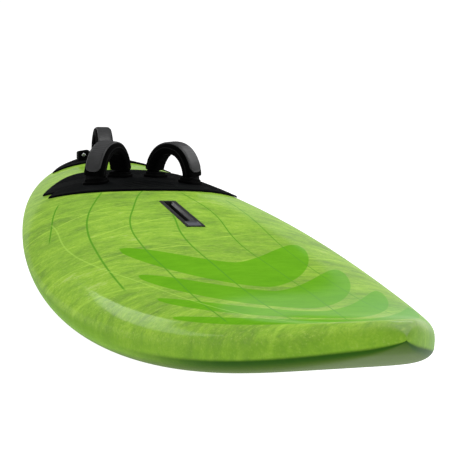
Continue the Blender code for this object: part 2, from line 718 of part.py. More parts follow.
    # fin box in its dense block, and the fin with its fastenings
    frame = fin_frame()
    long, wide, deep = FIN_BOX
    s_long, s_wide, s_deep = FIN_SLOT
    finbox = box("fin_box", (-long / 2, -wide / 2, 0), (long / 2, wide / 2, deep), moulded, frame)
    slot_cut = guide(box("fin_slot_cut", (-s_long / 2, -s_wide / 2, -0.01), (s_long / 2, s_wide / 2, s_deep), frame=frame))
    g_wide, g_low, g_high = FIN_GROOVE
    groove_cut = guide(box("fin_groove_cut", (-s_long / 2 + 0.0006, -g_wide / 2, g_low), (s_long / 2 - 0.0006, g_wide / 2, g_high), frame=frame))
    entry_cut = guide(box("fin_entry_cut", (-0.012, -g_wide / 2 - 0.0004, -0.01), (0.004, g_wide / 2 + 0.0004, g_high + 0.0005), frame=frame))
    cut(finbox, slot_cut, groove_cut, entry_cut)
    hole = guide(box("fin_hole_cut", (-long / 2 - GAP, -wide / 2 - GAP, -0.02), (long / 2 + GAP, wide / 2 + GAP, deep + GAP), frame=frame))
    b_long, b_wide, b_deep = FIN_BLOCK
    fin_block = box("fin_box_block", (-b_long / 2, -b_wide / 2, SKIN + 0.0023), (b_long / 2, b_wide / 2, b_deep), dense, frame)
    cut(fin_block, hole)
    block_cut = guide(box("fin_block_cut", (-b_long / 2 - GAP, -b_wide / 2 - GAP, -0.02), (b_long / 2 + GAP, b_wide / 2 + GAP, b_deep + GAP), frame=frame))
    cut(hull, hole)
    cut(foam_core, block_cut)

    t_long, t_wide, t_deep = FIN_TAB
    fin = fin_blade("fin", frame, glass)
    tab = guide(box("fin_tab_guide", (-t_long / 2, -t_wide / 2, 0.0002), (t_long / 2 - 0.018, t_wide / 2, t_deep), frame=frame))
    tongue = guide(box("fin_tongue_guide", (t_long / 2 - 0.030, -t_wide / 2, 0.0052), (t_long / 2, t_wide / 2, 0.0105), frame=frame))
    cut(fin, tab, tongue, operation="UNION")
    pin_x, screw_x, pin_z = -t_long / 2 + 0.020, t_long / 2 - 0.009, (g_low + g_high) / 2
    across = frame @ Matrix.Translation((pin_x, 0, pin_z)) @ Matrix.Rotation(math.radians(90), 4, "X")
    cut(fin, guide(turned("fin_pin_cut", [(0, 0.02), (0.0027, 0.02), (0.0027, -0.02), (0, -0.02)], steps=12, frame=across)))
    upright = frame @ Matrix.Translation((screw_x, 0, 0))
    cut(fin, guide(turned("fin_screw_cut", [(0, 0.02), (0.0024, 0.02), (0.0024, 0.001), (0, 0.001)], steps=12, frame=upright)))
    turned("fin_roll_pin", [(0, 0.0078), (0.0020, 0.0078), (0.0023, 0.0074), (0.0023, -0.0074), (0.0020, -0.0078), (0, -0.0078)],
           steel, steps=12, frame=across)
    plate = box("fin_nut_plate", (screw_x - 0.0070, -0.0080, 0.0126), (screw_x + 0.0070, 0.0080, 0.0158), brass, frame)
    cut(plate, guide(turned("fin_nut_cut", [(0, 0.02), (0.0024, 0.02), (0.0024, 0.008), (0, 0.008)], steps=12, frame=upright)))
    turned(
        "fin_screw",
        [(0, 0.0026), (0.0014, 0.0026), (0.0016, 0.0012), (0.0030, 0.0012), (0.0038, 0.0020), (0.0038, 0.0049), (0.0020, 0.0049),
         (0.0020, 0.0205), (0.0012, 0.0215), (0, 0.0215)],
        steel, steps=12, frame=upright,
    )

    # joint axes: an empty on the fin's slide and one on the vent screw's axis carry the pieces that move
    for name, spot, members in (
        ("fin_slide_axis", frame.translation, ("fin", "fin_screw", "fin_nut_plate", "fin_roll_pin")),
        ("vent_axis", Vector((VENT_X, 0, vent_z)), ("vent_screw", "vent_oring")),
    ):
        empty = bpy.data.objects.new(name, None)
        empty.location = spot
        empty.empty_display_size = 0.05
        bpy.context.scene.collection.objects.link(empty)
        bpy.context.view_layer.update()
        for member in members:
            obj = bpy.data.objects[member]
            obj.parent = empty
            obj.matrix_parent_inverse = Matrix.Translation(-spot)


build()
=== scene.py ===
"""Looks of a windsurf board: the fine surfaces, the soft parts and every material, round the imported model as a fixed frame."""

import json
import math

import bmesh
import bpy
import numpy as np
from mathutils import Matrix, Vector
from mathutils.bvhtree import BVHTree
from mathutils.kdtree import KDTree


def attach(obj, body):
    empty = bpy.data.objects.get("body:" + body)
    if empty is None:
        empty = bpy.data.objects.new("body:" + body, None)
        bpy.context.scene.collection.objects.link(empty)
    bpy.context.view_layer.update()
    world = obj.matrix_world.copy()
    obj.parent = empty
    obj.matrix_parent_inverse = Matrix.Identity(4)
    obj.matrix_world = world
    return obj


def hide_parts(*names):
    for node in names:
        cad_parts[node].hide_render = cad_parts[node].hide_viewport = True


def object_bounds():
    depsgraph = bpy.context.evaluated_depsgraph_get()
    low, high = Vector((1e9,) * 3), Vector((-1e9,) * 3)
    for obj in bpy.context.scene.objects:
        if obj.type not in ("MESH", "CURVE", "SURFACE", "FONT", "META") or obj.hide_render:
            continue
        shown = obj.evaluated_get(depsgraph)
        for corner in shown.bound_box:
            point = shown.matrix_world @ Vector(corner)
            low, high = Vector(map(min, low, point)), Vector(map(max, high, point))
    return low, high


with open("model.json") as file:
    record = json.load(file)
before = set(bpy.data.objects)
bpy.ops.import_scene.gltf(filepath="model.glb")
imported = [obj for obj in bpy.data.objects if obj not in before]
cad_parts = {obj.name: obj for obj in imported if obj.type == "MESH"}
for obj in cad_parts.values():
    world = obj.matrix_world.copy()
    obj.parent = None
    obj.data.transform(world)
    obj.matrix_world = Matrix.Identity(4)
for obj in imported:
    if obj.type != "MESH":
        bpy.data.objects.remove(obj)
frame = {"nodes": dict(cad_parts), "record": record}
cad_low, cad_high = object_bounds()
record = frame["record"]

# ---------------------------------------------------------------- camera
camera_data = bpy.data.cameras.new("camera")
camera_data.lens = 72.303
camera_data.sensor_width = 36.0
camera_data.clip_start = 0.02
camera = bpy.data.objects.new("camera", camera_data)
bpy.context.scene.collection.objects.link(camera)
right, up, ahead, spot = (0.2624, 0.964, 0.0419), (-0.2014, 0.0122, 0.9794), (-0.9437, 0.2654, -0.1973), (1.7027, -0.3875, 0.3297)
camera.matrix_world = Matrix([[right[i], up[i], -ahead[i], spot[i]] for i in range(3)] + [[0, 0, 0, 1]])
bpy.context.scene.camera = camera

# ---------------------------------------------------------------- the board's dimensions, in metres, as the frame has them
LENGTH = cad_high.x - cad_low.x
TAIL_X = cad_low.x
TRACK_STATION = -TAIL_X
HALF_WIDTH = cad_high.y
THICKNESS = 0.1222
WIDE_POINT = 0.5724
NOSE_OUTLINE = (2.312, 0.8371)
TAIL_OUTLINE = (1.6691, 0.4945)
NOSE_ROCKER = 0.179
ROCKER_START = 0.5991
ROCKER_POWER = 3.0915
TAIL_ROCKER = 0.008
THICK_POINT = 0.575
NOSE_THINNING = 0.76
TAIL_THINNING = 0.5543
RAIL_LEVEL = 0.40
DECK_SECTION = (2.2267, 1.4054)
NOSE_SECTION = (6.0, 3.6)
NOSE_RAIL_LEVEL = 0.30
HULL_SECTION = (7.0, 2.2)
NOSE_ROUND = 0.026
TAIL_ROUND = 0.018
SKIN = 0.0030
GAP = 0.0003
PAD_TOP = 0.0055
TRACK = (0.262, 0.0345, 0.030)
TRACK_SLOT = (-0.123, 0.084, 0.0105)
TRACK_GROOVE = (0.0205, -0.0115, -0.0225)
FRONT_STRAP_X = 0.880 - TRACK_STATION
FRONT_STRAP_Y = 0.0795
FRONT_STRAP_TURN = 39.6
REAR_STRAP_X = 0.186 - TRACK_STATION
ANCHOR_HALF_SPAN = 0.050
ARCH_HALF_SPAN = 0.0640
ARCH_RISE = 0.0805
ARCH_POWER = (2.25, 1.85)
SLEEVE_WIDTH = 0.0550
SLEEVE_OUT = 0.0112
SLEEVE_IN = 0.0175
SLEEVE_IN_FOOT = 0.0180
WEBBING = (0.046, 0.0020)
ANCHOR = (0.0415, 0.0600, 0.0120)
FIN_STATION = 0.255
FIN_DEPTH = 0.225
FIN_ROOT = 0.112
FIN_BOX = (0.268, 0.031, 0.031)
FIN_SLOT = (0.248, 0.0098, 0.0268)
FIN_GROOVE = (0.0176, 0.0120, 0.0186)
FIN_TAB = (0.184, 0.0088, 0.0245)
VENT_X = 0.575 - TRACK_STATION
BOTTOM = -0.1232


def half_width(x):
    s = (np.asarray(x, float) + TRACK_STATION) / LENGTH
    fore = np.clip((s - WIDE_POINT) / (1 - WIDE_POINT), 0, 1)
    aft = np.clip((WIDE_POINT - s) / WIDE_POINT, 0, 1)
    a, b = NOSE_OUTLINE
    c, d = TAIL_OUTLINE
    return HALF_WIDTH * np.maximum(0, 1 - fore**a) ** b * np.maximum(0, 1 - aft**c) ** d


def rocker(x):
    s = (np.asarray(x, float) + TRACK_STATION) / LENGTH
    u = np.clip((s - ROCKER_START) / (1 - ROCKER_START), 0, 1)
    v = np.maximum(0.0, (0.3 - s) / 0.3)
    return BOTTOM + NOSE_ROCKER * u**ROCKER_POWER + TAIL_ROCKER * v**2


def thickness(x):
    s = (np.asarray(x, float) + TRACK_STATION) / LENGTH
    f = np.clip((s - THICK_POINT) / (1 - THICK_POINT), 0, 1)
    a = np.clip((THICK_POINT - s) / THICK_POINT, 0, 1)
    return THICKNESS * (1 - NOSE_THINNING * f**2.4534 - TAIL_THINNING * a**2.2)


def nose_share(x):
    s = (np.asarray(x, float) + TRACK_STATION) / LENGTH
    return np.clip((s - THICK_POINT) / (1 - THICK_POINT), 0, 1) ** 2


def rail_level(x):
    return RAIL_LEVEL + (NOSE_RAIL_LEVEL - RAIL_LEVEL) * nose_share(x)


def section(x, side):
    """The two powers of the section's curve at x."""
    if side < 0:
        return HULL_SECTION
    return tuple(a + (b - a) * nose_share(x) for a, b in zip(DECK_SECTION, NOSE_SECTION))


def rail_height(x):
    return rocker(x) + rail_level(x) * thickness(x)


def end_round(x, nose, tail):
    x = np.asarray(x, float)
    from_tail = np.clip((x + TRACK_STATION) / tail, 0, 1)
    from_nose = np.clip((LENGTH - TRACK_STATION - x) / nose, 0, 1)
    return np.sqrt(np.maximum(0, 1 - (1 - from_nose) ** 2)) * np.sqrt(np.maximum(0, 1 - (1 - from_tail) ** 2))


def deck_rise(x):
    return (1 - rail_level(x)) * thickness(x) * end_round(x, NOSE_ROUND, TAIL_ROUND)


def hull_drop(x):
    return rail_level(x) * thickness(x) * end_round(x, NOSE_ROUND * 1.3, TAIL_ROUND * 0.5)


def share_of(x, y):
    return np.clip(np.abs(y) / np.maximum(half_width(x), 1e-6), 0, 1)


def deck_z(x, y):
    p, m = section(x, 1)
    return rail_height(x) + deck_rise(x) * (1 - share_of(x, y) ** p) ** (1 / m)


def hull_z(x, y):
    p, m = HULL_SECTION
    return rail_height(x) - hull_drop(x) * (1 - share_of(x, y) ** p) ** (1 / m)


# ---------------------------------------------------------------- mesh helpers
def show(name, mesh, materials, sharp=35.0):
    mesh.name = name
    mesh.materials.clear()
    for m in materials if isinstance(materials, (list, tuple)) else [materials]:
        mesh.materials.append(m)
    mesh.shade_smooth()
    mesh.set_sharp_from_angle(angle=math.radians(sharp))
    obj = bpy.data.objects.new(name, mesh)
    bpy.context.scene.collection.objects.link(obj)
    return obj


def mesh_of(bm):
    bmesh.ops.recalc_face_normals(bm, faces=bm.faces)
    mesh = bpy.data.meshes.new("part")
    bm.to_mesh(mesh)
    bm.free()
    return mesh


def settled(obj):
    """The object's mesh with its modifiers in it."""
    graph = bpy.context.evaluated_depsgraph_get()
    graph.update()
    made = bpy.data.meshes.new_from_object(obj.evaluated_get(graph))
    obj.modifiers.clear()
    old = obj.data
    obj.data = made
    if not old.users:
        bpy.data.meshes.remove(old)
    return obj


def scratch(mesh):
    obj = bpy.data.objects.new("scratch", mesh)
    bpy.context.scene.collection.objects.link(obj)
    return obj


def carved(mesh, cutters, bevel=0.0, segments=3, turn=28.0):
    """A mesh less its cutters, with its edges rounded."""
    obj = scratch(mesh)
    tools = [scratch(c) for c in cutters]
    for tool in tools:
        m = obj.modifiers.new("cut", "BOOLEAN")
        m.object, m.solver = tool, "EXACT"
    settled(obj)
    for tool in tools:
        bpy.data.objects.remove(tool)
    if bevel:
        bm = bmesh.new()
        bm.from_mesh(obj.data)
        bmesh.ops.remove_doubles(bm, verts=bm.verts, dist=2e-6)
        bmesh.ops.dissolve_limit(bm, angle_limit=math.radians(1.0), verts=bm.verts, edges=bm.edges)
        bm.to_mesh(obj.data)
        bm.free()
        m = obj.modifiers.new("round", "BEVEL")
        m.width, m.segments, m.limit_method, m.angle_limit = bevel, segments, "ANGLE", math.radians(turn)
        m.use_clamp_overlap = True
        settled(obj)
    made = obj.data.copy()
    bpy.data.objects.remove(obj)
    return made


def joined(meshes):
    bm = bmesh.new()
    for m in meshes:
        bm.from_mesh(m)
    return mesh_of(bm)


def ring_skin(bm, rings, caps=True):
    rows = [[bm.verts.new(p) for p in ring] for ring in rings]
    count = len(rows[0])
    for a, b in zip(rows, rows[1:]):
        for i in range(count):
            j = (i + 1) % count
            bm.faces.new((a[i], a[j], b[j], b[i]))
    if caps:
        for row in (rows[0], rows[-1]):
            bm.faces.new(row)
    return rows


def block(low, high, place=None):
    bm = bmesh.new()
    bmesh.ops.create_cube(bm, size=1.0)
    low, high = Vector(low), Vector(high)
    for v in bm.verts:
        v.co = Vector([v.co[i] * (high - low)[i] + ((high + low) / 2)[i] for i in range(3)])
    if place:
        bm.transform(place)
    return mesh_of(bm)


def prism(outline, low, high, place=None):
    bm = bmesh.new()
    ring_skin(bm, [[(x, y, z) for x, y in outline] for z in (low, high)])
    if place:
        bm.transform(place)
    return mesh_of(bm)


def turned(profile, steps=40, place=None, ring=False):
    """A profile of (radius, height) turned round Z, from axis to axis or as a closed ring."""
    bm = bmesh.new()
    verts = [bm.verts.new((r, 0, z)) for r, z in profile]
    pairs = list(zip(verts, verts[1:])) + ([(verts[-1], verts[0])] if ring else [])
    edges = [bm.edges.new(pair) for pair in pairs]
    bmesh.ops.spin(bm, geom=verts + edges, cent=(0, 0, 0), axis=(0, 0, 1), dvec=(0, 0, 0), angle=math.tau, steps=steps, use_merge=True)
    bmesh.ops.remove_doubles(bm, verts=bm.verts, dist=1e-6)
    if place:
        bm.transform(place)
    return mesh_of(bm)


def rounded(points, radius, steps=3):
    """A profile's inner corners as small arcs; its two end points stay."""
    out = [points[0]]
    for a, b, c in zip(points, points[1:], points[2:]):
        a, b, c = Vector(a), Vector(b), Vector(c)
        r = min(radius, (a - b).length * 0.45, (c - b).length * 0.45)
        p, q = b + (a - b).normalized() * r, b + (c - b).normalized() * r
        for k in range(steps + 1):
            t = k / steps
            out.append(tuple((1 - t) ** 2 * p + 2 * t * (1 - t) * b + t * t * q))
    return out + [points[-1]]


def piece(obj, slot, *nodes, body="board"):
    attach(obj, body)
    if nodes:
        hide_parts(*nodes)
    return obj


# ---------------------------------------------------------------- material helpers
class Tree:
    """A short way to write a material's nodes."""

    def __init__(self, name):
        self.material = bpy.data.materials.new(name)
        self.material.use_nodes = True
        self.tree = self.material.node_tree
        self.nodes, self.links = self.tree.nodes, self.tree.links
        self.shader = self.nodes["Principled BSDF"] if "Principled BSDF" in self.nodes else self.nodes.new("ShaderNodeBsdfPrincipled")
        self.place = self.node("ShaderNodeTexCoord").outputs["Object"]

    def node(self, kind, **values):
        made = self.nodes.new(kind)
        for k, v in values.items():
            setattr(made, k, v)
        return made

    def put(self, socket, value):
        if isinstance(value, bpy.types.NodeSocket):
            self.links.new(value, socket)
        else:
            socket.default_value = value

    def math(self, operation, a, b=None, c=None, clamp=False):
        n = self.node("ShaderNodeMath", operation=operation, use_clamp=clamp)
        for i, v in enumerate((a, b, c)):
            if v is not None:
                self.put(n.inputs[i], v)
        return n.outputs[0]

    def spread(self, value, a, b, c=0.0, d=1.0, smooth=True):
        n = self.node("ShaderNodeMapRange", interpolation_type="SMOOTHSTEP" if smooth else "LINEAR", clamp=True)
        for i, v in enumerate((value, a, b, c, d)):
            self.put(n.inputs[i], v)
        return n.outputs[0]

    def mapped(self, scale=(1, 1, 1), turn=(0, 0, 0), shift=(0, 0, 0), source=None):
        n = self.node("ShaderNodeMapping")
        self.put(n.inputs["Vector"], source or self.place)
        n.inputs["Scale"].default_value = scale
        n.inputs["Rotation"].default_value = [math.radians(a) for a in turn]
        n.inputs["Location"].default_value = shift
        return n.outputs[0]

    def noise(self, vector, scale, detail=4.0, rough=0.55, distortion=0.0):
        n = self.node("ShaderNodeTexNoise")
        self.put(n.inputs["Vector"], vector)
        n.inputs["Scale"].default_value = scale
        n.inputs["Detail"].default_value = detail
        n.inputs["Roughness"].default_value = rough
        n.inputs["Distortion"].default_value = distortion
        return n.outputs["Fac"]

    def cells(self, vector, scale, feature="DISTANCE_TO_EDGE"):
        n = self.node("ShaderNodeTexVoronoi", feature=feature)
        self.put(n.inputs["Vector"], vector)
        n.inputs["Scale"].default_value = scale
        return n.outputs["Distance"]

    def wave(self, vector, scale, direction="X", distortion=0.0, detail=2.0, profile="SIN"):
        n = self.node("ShaderNodeTexWave", bands_direction=direction, wave_profile=profile)
        self.put(n.inputs["Vector"], vector)
        n.inputs["Scale"].default_value = scale
        n.inputs["Distortion"].default_value = distortion
        n.inputs["Detail"].default_value = detail
        return n.outputs["Fac"]

    def mix(self, share, a, b, blend="MIX"):
        n = self.node("ShaderNodeMix", data_type="RGBA", blend_type=blend)
        self.put(n.inputs["Factor"], share)
        colour = [s for s in n.inputs if s.type == "RGBA"]
        for s, v in zip(colour, (a, b)):
            self.put(s, v if isinstance(v, bpy.types.NodeSocket) else (*v, 1.0))
        return [s for s in n.outputs if s.type == "RGBA"][0]

    def ramp(self, value, stops):
        n = self.node("ShaderNodeValToRGB")
        self.put(n.inputs[0], value)
        e = n.color_ramp.elements
        e[0].position, e[0].color = stops[0][0], (*stops[0][1], 1)
        e[1].position, e[1].color = stops[-1][0], (*stops[-1][1], 1)
        for at, colour in stops[1:-1]:
            made = e.new(at)
            made.color = (*colour, 1)
        return n.outputs[0]

    def bump(self, height, strength, distance, after=None):
        n = self.node("ShaderNodeBump")
        n.inputs["Strength"].default_value = strength
        n.inputs["Distance"].default_value = distance
        self.put(n.inputs["Height"], height)
        if after is not None:
            self.put(n.inputs["Normal"], after)
        return n.outputs[0]

    def curve(self, value, points):
        """A smooth curve through points that lie from 0 to 1."""
        n = self.node("ShaderNodeFloatCurve")
        self.put(n.inputs["Value"], value)
        line = n.mapping.curves[0]
        line.points[0].location = points[0]
        line.points[1].location = points[-1]
        for p in points[1:-1]:
            line.points.new(*p)
        n.mapping.update()
        return n.outputs[0]

    def set(self, **values):
        names = {"colour": "Base Color", "rough": "Roughness", "metal": "Metallic", "coat": "Coat Weight", "coat_rough": "Coat Roughness",
                 "sheen": "Sheen Weight", "sheen_rough": "Sheen Roughness", "ior": "IOR", "level": "Specular IOR Level", "normal": "Normal", "coat_ior": "Coat IOR",
                 "coat_normal": "Coat Normal", "tint": "Sheen Tint"}
        for k, v in values.items():
            socket = self.shader.inputs[names[k]]
            if k in ("colour", "tint") and not isinstance(v, bpy.types.NodeSocket):
                v = (*v, 1.0)
            self.put(socket, v)
        return self.material


def plastic(name, colour, rough=0.42, grain=900.0, depth=0.00012, level=0.5, lift=1.35):
    """A moulded plastic with a fine spark-eroded grain and faint handling marks."""
    t = Tree(name)
    speck = t.noise(t.mapped(), grain, 3.0, 0.6)
    cloud = t.noise(t.mapped(), 28.0, 4.0, 0.6)
    scuff = t.spread(t.noise(t.mapped((1, 6, 6), (20, 10, 35)), 60.0, 5.0, 0.65), 0.60, 0.74)
    tone = t.mix(cloud, [c * 0.8 for c in colour], [min(1, c * lift) for c in colour])
    tone = t.mix(t.math("MULTIPLY", scuff, 0.30), tone, [min(1, c * 2.2 + 0.02) for c in colour])
    t.set(colour=tone, rough=t.spread(t.math("ADD", t.math("MULTIPLY", cloud, 0.6), t.math("MULTIPLY", scuff, 0.4)), 0.0, 1.0, rough * 0.85, min(1, rough * 1.35), False),
          level=level, normal=t.bump(speck, 0.35, depth))
    return t.material


def metal(name, colour, rough=0.28, brushed=(1, 1, 60)):
    t = Tree(name)
    lines = t.noise(t.mapped(brushed), 220.0, 3.0, 0.6)
    smear = t.noise(t.mapped(), 90.0, 4.0)
    t.set(colour=t.mix(smear, [c * 0.82 for c in colour], colour), metal=1.0,
          rough=t.spread(t.math("ADD", t.math("MULTIPLY", lines, 0.5), t.math("MULTIPLY", smear, 0.5)), 0.3, 0.7, rough * 0.7, rough * 1.4, False),
          normal=t.bump(lines, 0.15, 0.00005))
    return t.material


def foam(name, colour, bead=300.0):
    t = Tree(name)
    beads = t.cells(t.mapped(), bead, "F1")
    t.set(colour=t.mix(t.spread(beads, 0.0, 0.7), [c * 0.85 for c in colour], colour), rough=0.85, normal=t.bump(beads, 0.4, 0.0006))
    return t.material


# ---------------------------------------------------------------- the printed laminate, with painted shade and a painted highlight
def laminate():
    """A leaf print under a clear coat: mottled greens with fine cross grain, veins, a light midrib and a generic banded
    graphic on the nose, with painted shade on the rail and under the hull and a painted highlight on the nose tip.
    """
    t = Tree("leaf_print_laminate")
    n = t.node("ShaderNodeSeparateXYZ")
    t.put(n.inputs[0], t.place)
    x, y = n.outputs[0], n.outputs[1]
    tail_x = t.math("ADD", x, TRACK_STATION)

    # broad cloudy tones
    warp = t.node("ShaderNodeVectorMath", operation="ADD")
    swirl = t.node("ShaderNodeTexNoise")
    t.put(swirl.inputs["Vector"], t.mapped((1, 1, 1)))
    swirl.inputs["Scale"].default_value = 5.0
    offset = t.node("ShaderNodeVectorMath", operation="SCALE")
    t.put(offset.inputs[0], swirl.outputs["Color"])
    offset.inputs["Scale"].default_value = 0.05
    t.put(warp.inputs[0], t.place)
    t.put(warp.inputs[1], offset.outputs[0])
    warped = warp.outputs[0]
    broad = t.noise(t.mapped((1.0, 0.7, 1.0), (0, 0, 12), source=warped), 7.5, 8.0, 0.70)
    patch = t.noise(t.mapped((1.5, 0.9, 1.0), (0, 0, -8), (3.1, 0.7, 0), warped), 22.0, 8.0, 0.76)
    grain = t.noise(t.mapped((5.0, 1.0, 5.0), (0, 0, 9), source=warped), 24.0, 6.0, 0.74)
    fine = t.noise(t.mapped((4.0, 1.4, 4.0), (0, 0, -12), (5.3, 0, 0), warped), 95.0, 5.0, 0.7)
    net = t.spread(t.cells(t.mapped((1.6, 0.8, 1.0), (0, 0, 15), source=warped), 60.0), 0.0, 0.07, 1.0, 0.0)
    mottle = t.math("ADD", t.math("MULTIPLY", broad, 0.50), t.math("MULTIPLY", patch, 0.50))
    tone = t.ramp(t.spread(mottle, 0.38, 0.63, smooth=False), [(0.0, (0.160, 0.300, 0.050)), (0.30, (0.225, 0.410, 0.048)), (0.55, (0.275, 0.495, 0.052)), (0.80, (0.335, 0.560, 0.058)), (1.0, (0.450, 0.610, 0.150))])
    tone = t.mix(t.spread(grain, 0.50, 0.72, 0.0, 0.60), tone, (0.440, 0.660, 0.090))
    tone = t.mix(t.spread(grain, 0.47, 0.30, 0.0, 0.60), tone, (0.150, 0.310, 0.045))
    tone = t.mix(t.spread(fine, 0.52, 0.74, 0.0, 0.60), tone, (0.520, 0.680, 0.150))
    tone = t.mix(t.spread(fine, 0.46, 0.28, 0.0, 0.50), tone, (0.120, 0.250, 0.030))
    tone = t.mix(t.math("MULTIPLY", net, 0.30), tone, (0.170, 0.390, 0.035))

    # long light streaks: the lateral ribs of the leaf
    for turn, period, start, width in ((64, 1.9, 0.15, 0.030), (-58, 1.35, 0.62, 0.024), (86, 2.3, 0.40, 0.022)):
        across = t.node("ShaderNodeSeparateXYZ")
        t.put(across.inputs[0], t.mapped((1, 1, 1), (0, 0, turn), source=warped))
        cell = t.math("FRACT", t.math("ADD", t.math("MULTIPLY", across.outputs[1], period * 3), start))
        rib = t.spread(t.math("ABSOLUTE", t.math("SUBTRACT", cell, 0.5)), width, 0.0)
        gate = t.spread(t.noise(t.mapped(shift=(turn, 0, 0)), 3.2, 2.0), 0.44, 0.62)
        tone = t.mix(t.math("MULTIPLY", t.math("MULTIPLY", rib, gate), 0.42), tone, (0.520, 0.800, 0.100))

    share_x = t.spread(tail_x, 1.0, 2.3, 0.0, 1.0, False)

    def vein(points, wide_first, wide_last, soft=0.45):
        """1 on a line y(x) between its first and last points, fading at both ends."""
        line = t.curve(share_x, [((px - 1.0) / 1.3, (py + 0.32) / 0.64) for px, py in points])
        at = t.math("SUBTRACT", t.math("MULTIPLY", line, 0.64), 0.32)
        off = t.math("ABSOLUTE", t.math("SUBTRACT", y, at))
        wide = t.spread(tail_x, points[0][0], points[-1][0], wide_first, wide_last, False)
        mask = t.spread(t.math("DIVIDE", off, wide), 1.0, soft)
        ends = t.math("MULTIPLY", t.spread(tail_x, points[0][0], points[0][0] + 0.03), t.spread(tail_x, points[-1][0], points[-1][0] - 0.03))
        return t.math("MULTIPLY", mask, ends)

    # a generic graphic: five tapered bands that sweep back from the nose like a fan of reeds
    u = t.math("DIVIDE", t.math("SUBTRACT", tail_x, 1.655), 0.62)
    v = t.math("DIVIDE", t.math("ABSOLUTE", y), 0.160)
    bend = t.math("ADD", u, t.math("MULTIPLY", t.math("POWER", v, 1.5), 0.36))
    taper = t.math("SQRT", t.math("MAXIMUM", t.math("SUBTRACT", 1.0, t.math("POWER", v, 2.6)), 0.0))
    bands = None
    for centre, half in ((0.250, 0.135), (0.540, 0.110), (0.765, 0.070), (0.920, 0.042)):
        gap = t.math("SUBTRACT", t.math("ABSOLUTE", t.math("SUBTRACT", bend, centre)), t.math("MULTIPLY", taper, half))
        band = t.math("MULTIPLY", t.spread(gap, 0.0025, -0.0025), t.spread(v, 1.0, 0.985))
        bands = band if bands is None else t.math("MAXIMUM", bands, band)
    graphic = t.mix(t.spread(mottle, 0.36, 0.66), (0.115, 0.370, 0.006), (0.150, 0.440, 0.009))
    graphic = t.mix(t.spread(grain, 0.50, 0.74, 0.0, 0.40), graphic, (0.200, 0.500, 0.014))
    deck_side = t.node("ShaderNodeSeparateXYZ")
    t.put(deck_side.inputs[0], t.node("ShaderNodeNewGeometry").outputs["Normal"])
    facing_up = t.spread(deck_side.outputs[2], 0.15, 0.35)
    tone = t.mix(t.math("MULTIPLY", t.math("MULTIPLY", bands, facing_up), 0.92), tone, graphic)

    # veins
    dark = [
        vein([(1.02, -0.113), (1.05, -0.120), (1.12, -0.139), (1.27, -0.174), (1.40, -0.190), (1.565, -0.194), (1.83, -0.187)], 0.0030, 0.0019),
        vein([(1.02, -0.012), (1.056, -0.028), (1.25, -0.080), (1.42, -0.114), (1.58, -0.120), (1.76, -0.114), (1.98, -0.115), (2.11, -0.117)], 0.0028, 0.0012),
        vein([(1.33, -0.019), (1.36, -0.021), (1.53, -0.040), (1.80, -0.038), (2.04, -0.048), (2.17, -0.063)], 0.0026, 0.0011),
        vein([(1.06, 0.056), (1.12, 0.060), (1.31, 0.068), (1.59, 0.044), (1.82, 0.047), (2.00, 0.033), (2.24, -0.030)], 0.0022, 0.0010),
        vein([(1.06, -0.210), (1.09, -0.218), (1.18, -0.234), (1.28, -0.246), (1.40, -0.260)], 0.0026, 0.0018),
        vein([(1.10, 0.150), (1.30, 0.146), (1.60, 0.118), (1.90, 0.100), (2.15, 0.064)], 0.0020, 0.0010),
    ]
    strength = dark[0]
    for m in dark[1:]:
        strength = t.math("MAXIMUM", strength, m)
    tone = t.mix(t.math("MULTIPLY", t.math("MULTIPLY", strength, facing_up), 0.90), tone, (0.105, 0.330, 0.020))
    light = vein([(1.24, -0.246), (1.29, -0.241), (1.49, -0.235), (1.65, -0.205), (1.81, -0.159), (1.97, -0.117), (2.10, -0.084), (2.20, -0.060)], 0.0020, 0.0012)
    tone = t.mix(t.math("MULTIPLY", t.math("MULTIPLY", light, facing_up), 0.42), tone, (0.450, 0.720, 0.110))

    # a cooler green toward the nose's port edge; then painted shade set by which way the surface faces: a darker rail,
    # a dark crease under the nose's rail and a darker hull underside; and a painted highlight on the nose tip
    cool = t.math("MULTIPLY", t.spread(tail_x, 1.85, 2.10), t.math("MULTIPLY", t.spread(y, 0.02, 0.10), t.spread(tail_x, 2.30, 2.20)))
    tone = t.mix(t.math("MULTIPLY", cool, 0.35), tone, (0.120, 0.420, 0.070))
    # painted shade: the rail a darker, plain green where the surface turns away from the deck, less of it toward the
    # nose
    rail_painted_shade = t.spread(deck_side.outputs[2], 0.45, 0.02)
    tone = t.mix(t.math("MULTIPLY", rail_painted_shade, t.spread(tail_x, 1.75, 2.05, 0.80, 0.45)), tone, (0.150, 0.350, 0.0015))
    # painted shade: a near-black green crease where the rail turns under near the nose
    edge = t.math("MULTIPLY", t.spread(deck_side.outputs[2], -0.05, -0.35), t.spread(tail_x, 1.86, 2.14))
    tone = t.mix(t.math("MULTIPLY", edge, 0.94), tone, (0.009, 0.060, 0.0010))
    # painted shade: the hull's underside a darker green where it faces down
    under = t.spread(deck_side.outputs[2], -0.45, -0.93)
    tone = t.mix(t.math("MULTIPLY", under, 0.92), tone, (0.060, 0.115, 0.0040))

    # painted highlight: a pale silver-green patch on the top of the nose tip
    nose_tip_painted_highlight = t.math("MULTIPLY", t.spread(tail_x, 2.12, 2.26), t.math("MULTIPLY", t.spread(y, -0.05, 0.03), t.spread(deck_side.outputs[2], 0.0, 0.5)))
    tone = t.mix(t.math("MULTIPLY", nose_tip_painted_highlight, 0.30), tone, (0.480, 0.560, 0.420))

